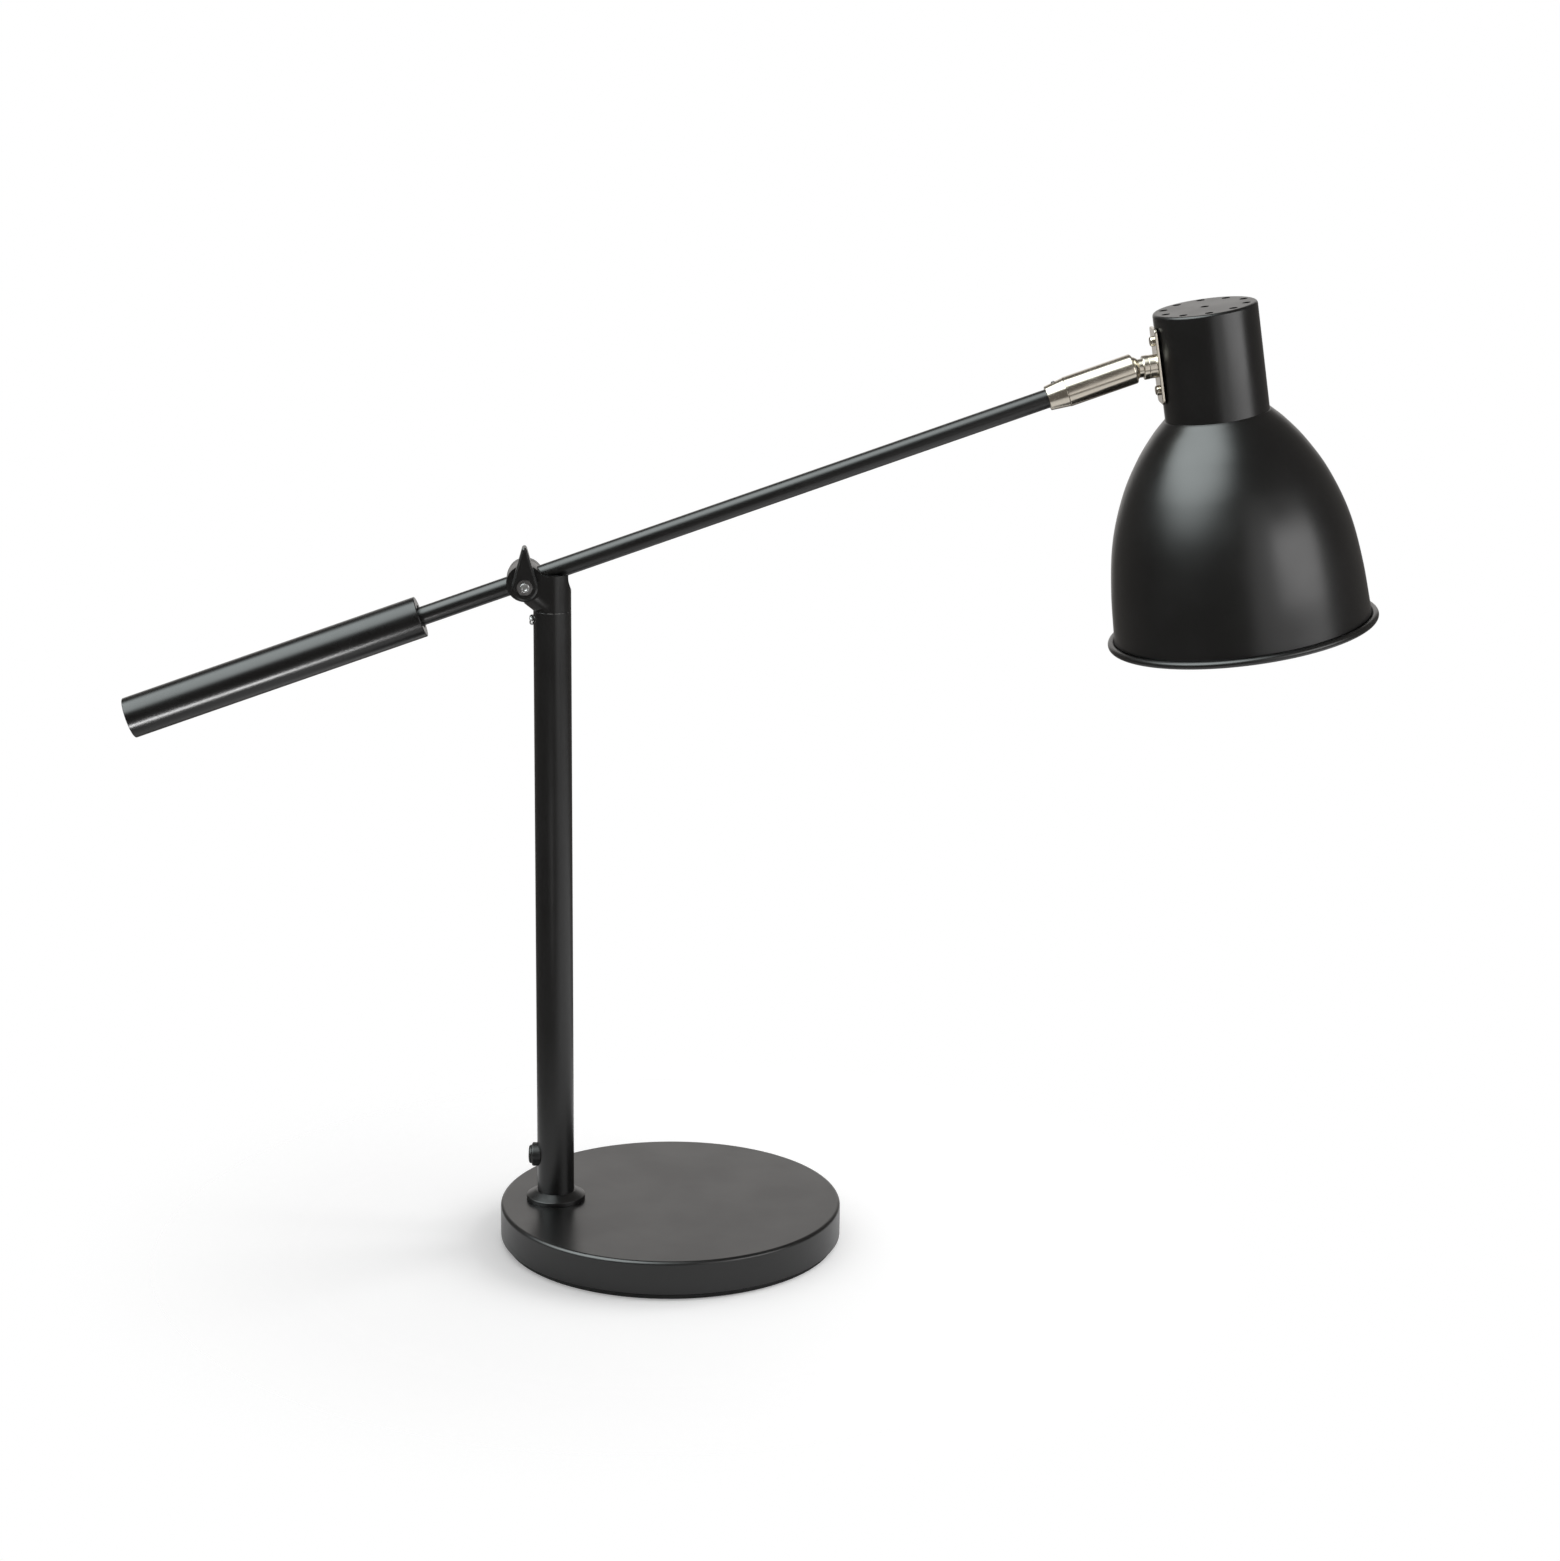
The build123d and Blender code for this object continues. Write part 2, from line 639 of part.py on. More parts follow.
# ---------------------------------------------------------------- swivel parts, on the arm's axis
def swivel_cone():
    """Tapered collar fixed on the arm, with a journal that the housing turns on."""
    end = cone_start + cone_length
    profile = [(arm_radius, cone_start), (cone_small_diameter / 2 - 0.5, cone_start),
               (cone_small_diameter / 2, cone_start + 0.5), (cone_large_diameter / 2, end),
               (journal_diameter / 2, end), (journal_diameter / 2, end + ring_place),
               (journal_diameter / 2 - ring_depth, end + ring_place),
               (journal_diameter / 2 - ring_depth, end + ring_place + ring_width + joint_gap),
               (journal_diameter / 2, end + ring_place + ring_width + joint_gap),
               (journal_diameter / 2, end + journal_length),
               (lead_diameter, end + journal_length), (lead_diameter, arm_reach), (arm_radius, arm_reach)]
    cone = along_x(turned(profile))
    return cone - cone_screw_place() * rod(collar_screw_diameter / 2, -3.5, 3)


def cone_screw_place():
    """Frame of the set screw on top of the cone, its Z pointing out."""
    return Pos(cone_start + cone_length / 2, 0, cone_small_diameter / 2 + 0.6)


def cone_screw():
    """Set screw in the top of the cone."""
    return cone_screw_place() * rod(collar_screw_diameter / 2 - running_gap, -2.05, 0.7)


def swivel_ring():
    """Retaining ring that keeps the housing on the journal."""
    start = cone_start + cone_length + ring_place + joint_gap / 2
    inner = journal_diameter / 2 - ring_depth + running_gap
    return along_x(pipe(journal_diameter / 2 + ring_depth, inner, start, start + ring_width))


def swivel_housing():
    """Round housing with a rounded end that holds the ball."""
    start = cone_start + cone_length + joint_gap
    outer = rod(housing_diameter / 2, start, housing_end)
    outer = fillet(outer.edges().group_by(Axis.Z)[-1], housing_round)
    bore = journal_diameter / 2 + running_gap
    shoulder = cone_start + cone_length + journal_length + joint_gap
    chamber = ball_radius + ball_gap
    outer -= rod(bore, start - 1, shoulder + 2)
    groove = start + ring_place - joint_gap / 2
    outer -= rod(journal_diameter / 2 + ring_depth, groove, groove + ring_width)
    outer -= rod(lead_diameter + 1.5, start, ball_at)
    outer -= rod(chamber, shoulder + 4, ball_at)
    outer -= Pos(0, 0, ball_at) * Sphere(chamber)
    return along_x(outer)


def ball_seat():
    """Seat pressed against the back of the ball."""
    chamber = ball_radius
    seat = rod(chamber, ball_at - 2.5 - seat_length, ball_at - 2.5)
    seat -= Pos(0, 0, ball_at) * Sphere(ball_radius + ball_gap)
    seat -= rod(lead_diameter / 2 + 1.2, 0, ball_at)
    return along_x(seat)


def disc_springs():
    """Disc springs behind the ball seat."""
    stack_end = ball_at - 2.5 - seat_length
    rings = []
    for index in range(disc_spring_count):
        end = stack_end - index * disc_spring_thickness * 1.25
        rings.append(along_x(pipe(ball_radius - 0.3, lead_diameter / 2 + 1.4, end - disc_spring_thickness, end)))
    return Compound(children=rings)


# ---------------------------------------------------------------- stem and bracket, from the ball's centre along +X
def ball_stem():
    """Ball, neck and flange in one turned piece, bored for the lead."""
    end = flange_start + flange_thickness
    neck = rod(neck_diameter / 2, 4.0, flange_start)
    flange = rod(flange_diameter / 2, flange_start, end)
    flange = chamfer(flange.edges().group_by(Axis.Z)[0], 0.4)
    thread = rod(stem_thread_diameter / 2, end, bracket_outer + bracket_thickness)
    stem = Sphere(ball_radius) + neck + flange + thread
    return along_x(stem - rod(stem_bore / 2, -2 * ball_radius, 2 * shade_reach))


def bracket_screw_places():
    """Centres of the two bracket screws, their Z pointing away from the shade."""
    face = bracket_outer
    half = bracket_screw_spacing / 2
    return [Pos(face, 0, z) * Rot(0, -90, 0) for z in (half, -half)]


def bracket_plate():
    """Plate against the shade's neck, with the boss that takes the stem."""
    sketch = RectangleRounded(bracket_length, bracket_width, bracket_corner)
    plate = Pos(0, 0, bracket_outer) * extrude(sketch, bracket_thickness)
    boss = rod(boss_diameter / 2, flange_start + flange_thickness, bracket_outer)
    body = along_x(plate + boss - rod(stem_thread_diameter / 2, 0, shade_reach))
    for place in bracket_screw_places():
        body -= place * Cylinder(bracket_screw_diameter / 2 + bracket_screw_gap, 4 * bracket_thickness)
    return body


def strap_face():
    """Distance from the ball's centre to the outer face of the holder strap."""
    inner = neck_shade_radius - shade_wall
    return shade_reach - math.sqrt(inner ** 2 - (holder_strap_width / 2) ** 2) + strap_side_gap


def bracket_screws():
    """Pan-head screws through bracket, shade and holder strap."""
    length = strap_face() + holder_strap_thickness + bracket_nut_height + 0.6 - bracket_outer
    screw = round_head(bracket_head_diameter / 2, bracket_head_height) + rod(bracket_screw_diameter / 2, -length, 0.1)
    screw -= Pos(0, 0, bracket_head_height) * Box(0.7, bracket_head_diameter, 1.2)
    return Compound(children=[place * screw for place in bracket_screw_places()])


def bracket_nuts():
    """Nuts on the bracket screws inside the shade."""
    seat = -(strap_face() + holder_strap_thickness - bracket_outer)
    nut = hex_prism(bracket_nut_flats, seat - bracket_nut_height, seat)
    nut -= rod(bracket_screw_diameter / 2 + running_gap, seat - bracket_nut_height - 1, seat + 1)
    return Compound(children=[place * nut for place in bracket_screw_places()])


# ---------------------------------------------------------------- shade, about its own axis, top at z = 0
def bell_points():
    """Outer (depth, radius) points of the bell."""
    flare = rim_radius - neck_shade_radius
    return [(depth * shade_height, neck_shade_radius + share * flare) for depth, share in bell_stations]


def inset(stations, wall):
    """Move (depth, radius) stations inwards by the wall, square to their curve."""
    moved = []
    for index, (depth, radius) in enumerate(stations):
        before = stations[max(index - 1, 0)]
        after = stations[min(index + 1, len(stations) - 1)]
        run = (after[0] - before[0], after[1] - before[1])
        size = math.hypot(*run)
        moved.append((depth + wall * run[1] / size, radius - wall * run[0] / size))
    return moved


def bell_solid(neck_radius, top, stations, foot):
    """Solid neck and bell from a level top down to the foot."""
    curve = Spline(*[(radius, -depth) for depth, radius in stations])
    lines = [Line((0, -top), (neck_radius, -top)),
             Line((neck_radius, -top), (neck_radius, curve.position_at(0).Y)),
             Line((neck_radius, curve.position_at(0).Y), curve.position_at(0)),
             curve,
             Line(curve.position_at(1), (stations[-1][1], -foot)),
             Line((stations[-1][1], -foot), (0, -foot)),
             Line((0, -foot), (0, -top))]
    return revolve(Plane.XZ * make_face(lines), Axis.Z)


def shade():
    """Spun shade: flat vented top, straight neck, bell and a rolled rim."""
    outer = bell_solid(neck_shade_radius, 0, bell_points(), shade_height - rim_bead_radius)
    outer = fillet(outer.edges().group_by(Axis.Z)[-1], shade_top_radius)
    inner_points = inset(bell_points(), shade_wall)
    inner = bell_solid(neck_shade_radius - shade_wall, shade_wall, inner_points, shade_height + 1)
    bead = Pos(0, 0, -shade_height + rim_bead_radius) * Torus(rim_radius - rim_bead_radius, rim_bead_radius)
    body = outer - inner + bead
    for place in PolarLocations(vent_circle_radius, vent_count, vent_phase):
        body -= place * Cylinder(vent_diameter / 2, 4 * shade_wall)
    body -= Cylinder(vent_diameter / 2, 4 * shade_wall)
    stem = Pos(-shade_reach, 0, -shade_above_stem)
    for place in bracket_screw_places():
        body -= stem * place * Cylinder(bracket_screw_diameter / 2 + bracket_screw_gap, bracket_screw_spacing / 2)
    body -= Pos(0, 0, -shade_above_stem) * Rot(0, -90, 0) * rod(
        stem_thread_diameter / 2 + bracket_screw_gap, neck_shade_radius - 3 * shade_wall, neck_shade_radius + shade_wall)
    return body


# ---------------------------------------------------------------- lamp holder and bulb, about the shade's axis
def strap_level():
    """Height of the underside of the strap's level leg."""
    return -strap_drop - holder_strap_thickness


def holder_strap():
    """Bent strap from the bracket screws to the lamp holder."""
    outer = strap_face() - shade_reach
    half = bracket_screw_spacing / 2 + bracket_head_diameter
    leg_low = -shade_above_stem - half
    leg = Pos(outer, 0, leg_low) * Box(
        holder_strap_thickness, holder_strap_width, -strap_drop - leg_low,
        align=(Align.MIN, Align.CENTER, Align.MIN))
    tongue = Pos(outer, 0, strap_level()) * Box(
        -outer + holder_strap_width / 2 + 2, holder_strap_width, holder_strap_thickness,
        align=(Align.MIN, Align.CENTER, Align.MIN))
    strap = leg + tongue - rod(nipple_diameter / 2 + bolt_gap, strap_level() - 1, 0)
    stem = Pos(-shade_reach, 0, -shade_above_stem)
    for place in bracket_screw_places():
        strap -= stem * place * Cylinder(bracket_screw_diameter / 2 + bracket_screw_gap, 4 * bracket_screw_spacing)
    return strap


def holder_nipple():
    """Hollow threaded rod between strap and holder."""
    top = -strap_drop + holder_nut_height + 0.8
    return pipe(nipple_diameter / 2, nipple_bore / 2, top - holder_nipple_length, top)


def holder_nut():
    """Nut above the strap."""
    nut = hex_prism(holder_nut_flats, -strap_drop, -strap_drop + holder_nut_height)
    return nut - rod(nipple_diameter / 2, -strap_drop - 1, 0)


def holder_cap():
    """Closed upper half of the lamp holder."""
    top = strap_level()
    cap = rod(holder_cap_diameter / 2, top - holder_cap_length, top)
    cap = fillet(cap.edges().group_by(Axis.Z)[-1], 5.0)
    cap -= rod(holder_cap_diameter / 2 - holder_wall, top - holder_cap_length - 1, top - 4)
    return cap - rod(nipple_diameter / 2, top - 5, top + 1)


def holder_shell():
    """Open lower half of the lamp holder, with a flared collar."""
    top = strap_level() - holder_cap_length
    shell = pipe(holder_shell_diameter / 2, holder_shell_diameter / 2 - holder_wall, top - holder_shell_length, top)
    collar = pipe(holder_shell_diameter / 2 + 1.5, holder_shell_diameter / 2 - holder_wall,
                  top - holder_shell_length * 0.45, top - holder_shell_length * 0.3)
    return shell + collar


def holder_insulator():
    """Ceramic disc that carries the contacts."""
    top = strap_level() - holder_cap_length
    disc = rod(holder_shell_diameter / 2 - holder_wall, top - insulator_thickness, top)
    return disc


def screw_shell():
    """Threaded metal shell that the bulb screws into."""
    top = strap_level() - holder_cap_length - insulator_thickness
    return pipe(screw_shell_diameter / 2, screw_shell_diameter / 2 - screw_shell_wall, top - screw_shell_length, top)


def centre_contact():
    """Sprung tongue that touches the bulb's tip."""
    top = strap_level() - holder_cap_length - insulator_thickness
    return Pos(0, 0, top) * Box(contact_width * 2, contact_width, 0.8, align=(Align.CENTER, Align.CENTER, Align.MAX))


def bulb_top():
    """Height of the bulb's tip contact."""
    return strap_level() - holder_cap_length - insulator_thickness - 0.8


def bulb_cap():
    """Screw cap of the bulb with its tip contact."""
    top = bulb_top()
    radius = bulb_cap_diameter / 2
    inside = radius - bulb_wall
    return turned([(0, top), (4.5, top), (5.0, top - 1.5), (radius - 2, top - 3.5), (radius, top - 5),
                   (radius, top - bulb_cap_length), (inside, top - bulb_cap_length), (inside, top - 6.5),
                   (0, top - 5)])


def bulb_form(wall):
    """Pear-shaped solid, smaller all round by the wall."""
    top = bulb_top() - bulb_cap_length
    radius = bulb_diameter / 2 - wall
    centre = top - bulb_length + bulb_diameter / 2
    neck = bulb_neck_diameter / 2 - wall
    top -= wall
    flank = math.radians(bulb_flank)
    shoulder = (radius * math.cos(flank), centre + radius * math.sin(flank))
    side = Spline((neck, top - 2), (neck + bulb_taper_flare, top - bulb_taper_length), shoulder,
                  tangents=[(0, -1), (math.sin(flank), -math.cos(flank))])
    crown = ThreePointArc(shoulder, (radius, centre), (0, centre - radius))
    lines = [Line((0, top), (neck, top)), Line((neck, top), (neck, top - 2)), side, crown,
             Line((0, centre - radius), (0, top))]
    return revolve(Plane.XZ * make_face(lines), Axis.Z)


def bulb_glass():
    """Hollow glass of the bulb."""
    return bulb_form(0) - bulb_form(bulb_wall)


def post_lead():
    """Lead in the post, past the switch and up into the head's spigot."""
    shift = post_bore - lead_diameter / 2 - 0.3
    plug_top = base_height + post_hidden_length
    spigot_low = post_top - spigot_length
    points = [(0, 0, weight_floor), (0, 0, plug_top), (shift, 0, plug_top + shift),
              (shift, 0, spigot_low - 3 * shift), (0, 0, spigot_low - 2 * shift), (0, 0, post_top)]
    path = FilletPolyline(*points, radius=lead_diameter)
    body = sweep(Plane(path @ 0, z_dir=path % 0) * Circle(lead_diameter / 2), path)
    return Pos(-post_offset, 0, 0) * body


os.makedirs("parts", exist_ok=True)

fixed = {
    "foot_pad": foot_pad, "closing_plate": closing_plate, "plate_screws": plate_screws,
    "base_weight": base_weight, "base_cover": base_cover, "inlet_bush": inlet_bush,
    "terminal_block": terminal_block, "post_tube": post_tube, "foot_plug": foot_plug,
    "foot_nipple": foot_nipple, "foot_washer": foot_washer, "foot_nut": foot_nut,
    "post_collar": post_collar, "switch_bezel": switch_bezel, "switch_body": switch_body,
    "switch_button": switch_button, "head_screw": head_screw, "post_lead": post_lead}
on_head = {
    "pivot_head": pivot_head, "friction_washers": friction_washers, "pivot_bolt": pivot_bolt, "bolt_cap": bolt_cap,
    "clamp_spacer": clamp_spacer, "clamp_spring_washer": clamp_spring_washer,
    "clamp_lever": clamp_lever, "lever_nut": lever_nut}
on_arm = {
    "arm_hub": arm_hub, "arm_tube": arm_tube, "counterweight": counterweight,
    "counterweight_grub": counterweight_grub, "arm_lead": arm_lead,
    "swivel_cone": swivel_cone, "cone_screw": cone_screw}
on_swivel = {"swivel_ring": swivel_ring, "swivel_housing": swivel_housing, "ball_seat": ball_seat, "disc_springs": disc_springs}
on_stem = {
    "ball_stem": ball_stem, "bracket_plate": bracket_plate, "bracket_screws": bracket_screws,
    "bracket_nuts": bracket_nuts}
on_shade = {
    "shade": shade, "holder_strap": holder_strap, "holder_nipple": holder_nipple,
    "holder_nut": holder_nut, "holder_cap": holder_cap, "holder_shell": holder_shell,
    "holder_insulator": holder_insulator, "screw_shell": screw_shell,
    "centre_contact": centre_contact, "bulb_cap": bulb_cap, "bulb_glass": bulb_glass}

for place, group in ((Pos(0, 0, 0), fixed), (head_place, on_head), (arm_place, on_arm),
                     (swivel_place, on_swivel), (shade_place, on_stem), (lamp_place, on_shade)):
    for name, make in group.items():
        save(name, place * make())
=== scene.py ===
"""Counterweight balance desk lamp, dressed for the photograph's view."""

import logging
import math
from dataclasses import dataclass, field
from enum import Enum
from typing import Callable, Iterable, Sequence

import bmesh
import bpy
from mathutils import Matrix, Vector
from mathutils.geometry import interpolate_bezier


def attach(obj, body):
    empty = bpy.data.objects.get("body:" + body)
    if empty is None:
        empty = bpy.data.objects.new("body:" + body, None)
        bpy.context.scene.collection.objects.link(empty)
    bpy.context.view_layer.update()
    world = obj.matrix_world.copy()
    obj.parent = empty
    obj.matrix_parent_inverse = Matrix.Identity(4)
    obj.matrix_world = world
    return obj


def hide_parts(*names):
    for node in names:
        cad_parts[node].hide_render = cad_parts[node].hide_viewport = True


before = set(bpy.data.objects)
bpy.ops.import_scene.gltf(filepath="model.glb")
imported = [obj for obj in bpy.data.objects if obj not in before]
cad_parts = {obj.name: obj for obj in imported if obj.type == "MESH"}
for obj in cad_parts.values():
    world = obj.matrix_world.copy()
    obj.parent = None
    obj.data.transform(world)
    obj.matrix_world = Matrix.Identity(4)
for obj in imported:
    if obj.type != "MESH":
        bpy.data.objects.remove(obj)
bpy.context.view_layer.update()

LOG = logging.getLogger("lamp")
LOCAL = "bench_place"          # attribute that keeps a piece's place on the bench, in millimetres
MILLIMETRE = 0.001             # in metres
TINY = 1e-4                    # points nearer than this are one, in millimetres
Point = tuple[float, float]
Colour = tuple[float, float, float]


# ---------------------------------------------------------------- places
def shift(x: float = 0.0, y: float = 0.0, z: float = 0.0) -> Matrix:
    """Matrix that moves by x, y and z millimetres."""
    return Matrix.Translation((x, y, z))


def turn(degrees: float, axis: str) -> Matrix:
    """Matrix that turns about X, Y or Z."""
    return Matrix.Rotation(math.radians(degrees), 4, axis)


ALONG_X = turn(90, "Y")        # a piece made about Z lies along +X
ALONG_Y = turn(90, "X")        # a piece made about Z lies along -Y, towards the front


@dataclass(frozen=True)
class Places:
    """Where each assembly sits, in millimetres, as in the solid model."""

    post_offset: float = 63.0
    head_turn: float = 3.5
    pivot_x: float = -77.1
    pivot_z: float = 365.9
    arm_rise: float = 19.4
    roll: float = 1.8
    ball_at: float = 334.5
    lean: float = 10.04
    shade_reach: float = 43.4
    shade_above_stem: float = 26.6
    switch_height: float = 46.8

    @property
    def post(self) -> Matrix:
        """Foot of the post's axis, on the table."""
        return shift(-self.post_offset)

    @property
    def head(self) -> Matrix:
        """Frame of the swivelled head, with its origin where the base has it."""
        return shift(-self.post_offset) @ turn(self.head_turn, "Z") @ shift(self.post_offset)

    @property
    def pivot(self) -> Matrix:
        """Centre of the arm's hinge, level."""
        return self.head @ shift(self.pivot_x, 0, self.pivot_z)

    @property
    def arm(self) -> Matrix:
        """Frame of the arm, its X along the arm."""
        return self.pivot @ turn(-self.arm_rise, "Y")

    @property
    def swivel(self) -> Matrix:
        """Frame of the housing that turns on the arm's axis."""
        return self.arm @ turn(self.roll, "X")

    @property
    def stem(self) -> Matrix:
        """Centre of the ball, X towards the shade."""
        return self.swivel @ shift(self.ball_at) @ turn(self.lean, "Y")

    @property
    def lamp(self) -> Matrix:
        """Top of the shade, on its axis."""
        return self.stem @ shift(self.shade_reach, 0, self.shade_above_stem)


# ---------------------------------------------------------------- finishes
class Space(Enum):
    """What a pattern follows."""

    OBJECT = "object"
    BENCH = "bench"


class Sheet:
    """A node tree with short ways to add and join its nodes."""

    def __init__(self, tree: bpy.types.NodeTree) -> None:
        """Start from an empty tree."""
        self.tree = tree
        tree.nodes.clear()

    def add(self, kind: str, **values: object) -> bpy.types.Node:
        """Add a node.

        Args:
            kind: Blender's name of the node's type.
            values: properties, or inputs where the name is one of them with underscores.

        Returns:
            The new node.
        """
        node = self.tree.nodes.new(kind)
        for name, value in values.items():
            if hasattr(node, name):
                setattr(node, name, value)
                continue
            socket = node.inputs[name.replace("_", " ")]
            if isinstance(value, bpy.types.NodeSocket):
                self.tree.links.new(value, socket)
            else:
                socket.default_value = value
        return node

    def join(self, source: bpy.types.NodeSocket, target: bpy.types.NodeSocket) -> None:
        """Link an output to an input."""
        self.tree.links.new(source, target)

    def where(self, space: Space, stretch: Sequence[float]) -> bpy.types.NodeSocket:
        """Coordinates for a pattern.

        Args:
            space: the object's metres, or the bench's millimetres.
            stretch: scale on each axis.

        Returns:
            The vector output.
        """
        if space is Space.BENCH:
            spot = self.add("ShaderNodeAttribute", attribute_name=LOCAL).outputs["Vector"]
        else:
            spot = self.add("ShaderNodeTexCoord").outputs["Object"]
        return self.add("ShaderNodeMapping", Vector=spot, Scale=tuple(stretch)).outputs["Vector"]

    def noise(self, spot: bpy.types.NodeSocket, scale: float, detail: float = 2.0) -> bpy.types.NodeSocket:
        """Noise between 0 and 1 at a place and scale."""
        return self.add("ShaderNodeTexNoise", Vector=spot, Scale=scale, Detail=detail).outputs["Fac"]

    def spread(self, value: bpy.types.NodeSocket, low: float, high: float,
               start: float = 0.35, end: float = 0.65) -> bpy.types.NodeSocket:
        """Map the part of a value between start and end onto low to high."""
        node = self.add("ShaderNodeMapRange")
        self.join(value, node.inputs["Value"])
        for name, number in (("From Min", start), ("From Max", end), ("To Min", low), ("To Max", high)):
            node.inputs[name].default_value = number
        return node.outputs["Result"]

    def smooth(self, value: bpy.types.NodeSocket, start: float, end: float,
               high: float = 1.0) -> bpy.types.NodeSocket:
        """Rise smoothly from 0 at start to high at end."""
        node = self.add("ShaderNodeMapRange", interpolation_type="SMOOTHSTEP")
        self.join(value, node.inputs["Value"])
        for name, number in (("From Min", start), ("From Max", end), ("To Max", high)):
            node.inputs[name].default_value = number
        return node.outputs["Result"]

    def compute(self, operation: str, first: bpy.types.NodeSocket,
                second: bpy.types.NodeSocket | float) -> bpy.types.NodeSocket:
        """Join a value with a value or a number by one of Blender's sums."""
        node = self.add("ShaderNodeMath", operation=operation)
        self.join(first, node.inputs[0])
        if isinstance(second, bpy.types.NodeSocket):
            self.join(second, node.inputs[1])
        else:
            node.inputs[1].default_value = second
        return node.outputs["Value"]

    def blend(self, factor: bpy.types.NodeSocket, first: Colour | bpy.types.NodeSocket,
              second: Colour | bpy.types.NodeSocket) -> bpy.types.NodeSocket:
        """Mix two colours, each plain or from a socket, by a factor."""
        node = self.add("ShaderNodeMix", data_type="RGBA")
        self.join(factor, node.inputs[0])
        for value, socket in ((first, node.inputs[6]), (second, node.inputs[7])):
            if isinstance(value, bpy.types.NodeSocket):
                self.join(value, socket)
            else:
                socket.default_value = (*value, 1)
        return node.outputs[2]

    def bump(self, height: bpy.types.NodeSocket, strength: float, depth: float) -> bpy.types.NodeSocket:
        """Turn a height into a bumped normal, with the depth in metres."""
        return self.add("ShaderNodeBump", Height=height, Strength=strength, Distance=depth).outputs["Normal"]


@dataclass(frozen=True)
class Finish:
    """A surface: two close colours, a gloss that varies, and a fine relief."""

    name: str
    light: Colour
    dark: Colour
    metallic: float = 0.0
    gloss: Point = (0.35, 0.45)          # lowest and highest roughness
    specular: float = 0.5
    grain: float = 700.0                 # relief, per metre
    relief: float = 0.15
    depth: float = 0.00005
    mottle: float = 60.0                 # colour and gloss, per metre
    lathe_lines: bool = False            # fine lines round the piece's axis
    line_scale: float = 260.0
    line_stretch: tuple[float, float, float] = (0.0004, 0.0004, 0.02)
    detail: float = 3.0
    coat: float = 0.0
    coat_roughness: float = 0.12
    patchy: bool = False                 # small spots with hard borders, as where a coat is rubbed through; on the worn edges they also stand for painted glints
    patch_border: Point = (0.50, 0.58)

    def material(self, space: Space) -> bpy.types.Material:
        """Make the material, or give the one already made.

        Args:
            space: what the patterns follow.

        Returns:
            The material.
        """
        label = f"{self.name}_{space.value}"
        known = bpy.data.materials.get(label)
        if known:
            return known
        made = bpy.data.materials.new(label)
        made.use_nodes = True
        sheet = Sheet(made.node_tree)
        unit = MILLIMETRE if space is Space.BENCH else 1.0
        plain = sheet.where(space, (unit, unit, unit))
        patches = sheet.noise(plain, self.mottle, self.detail)
        if self.lathe_lines and space is Space.BENCH:
            fine = sheet.noise(sheet.where(space, self.line_stretch), self.line_scale, self.detail)
        else:
            fine = sheet.noise(plain, self.grain)
        shader = sheet.add("ShaderNodeBsdfPrincipled", Metallic=self.metallic)
        shader.inputs["Specular IOR Level"].default_value = self.specular
        shader.inputs["Coat Weight"].default_value = self.coat
        shader.inputs["Coat Roughness"].default_value = self.coat_roughness
        tone = sheet.spread(patches, 0.0, 1.0, *self.patch_border) if self.patchy else patches
        sheet.join(sheet.blend(tone, self.dark, self.light), shader.inputs["Base Color"])
        sheet.join(sheet.spread(patches, *self.gloss), shader.inputs["Roughness"])
        sheet.join(sheet.bump(fine, self.relief, self.depth), shader.inputs["Normal"])
        out = sheet.add("ShaderNodeOutputMaterial")
        sheet.join(shader.outputs["BSDF"], out.inputs["Surface"])
        return made


SATIN_BLACK = Finish("satin_black_coat", (0.0042, 0.0041, 0.0042), (0.0030, 0.0030, 0.0031),
                     gloss=(0.28, 0.33), specular=0.62, grain=1400, relief=0.10, mottle=35)
# Broken edges: coat rubbed through, and a lighter grey painted in as glints where the edges catch the light.
WORN_EDGE_AND_GLINT = Finish("worn_coat_and_painted_glint", (0.16, 0.16, 0.155), (0.006, 0.006, 0.006), gloss=(0.30, 0.45),
                   specular=0.7, grain=1400, mottle=260, patchy=True)
WEIGHT_BLACK = Finish("weight_black_coat", (0.0042, 0.0041, 0.0042), (0.0030, 0.0030, 0.0031),
                      gloss=(0.24, 0.29), specular=0.52, grain=1400, relief=0.06, mottle=35)
WHITE_ENAMEL = Finish("white_enamel", (0.80, 0.79, 0.76), (0.74, 0.73, 0.70), gloss=(0.35, 0.5), grain=900)
NICKEL = Finish("warm_nickel", (0.64, 0.59, 0.51), (0.55, 0.505, 0.43), metallic=1.0, gloss=(0.15, 0.22),
                grain=1200, relief=0.05, depth=0.00001, mottle=90, lathe_lines=True)
ZINC = Finish("zinc_plate", (0.56, 0.56, 0.55), (0.44, 0.45, 0.46), metallic=1.0, gloss=(0.28, 0.42),
              mottle=130)
SPRING_STEEL = Finish("spring_steel", (0.34, 0.33, 0.33), (0.24, 0.24, 0.25), metallic=1.0,
                      gloss=(0.25, 0.38), mottle=110)
CAST_IRON = Finish("cast_iron", (0.10, 0.10, 0.10), (0.05, 0.05, 0.05), metallic=0.7, gloss=(0.55, 0.75),
                   grain=900, relief=0.5, depth=0.0003, mottle=60)
BRASS = Finish("brass", (0.78, 0.58, 0.28), (0.62, 0.44, 0.20), metallic=1.0, gloss=(0.22, 0.34), mottle=120)
ALUMINIUM = Finish("pressed_aluminium", (0.80, 0.80, 0.79), (0.70, 0.70, 0.70), metallic=1.0,
                   gloss=(0.25, 0.36))
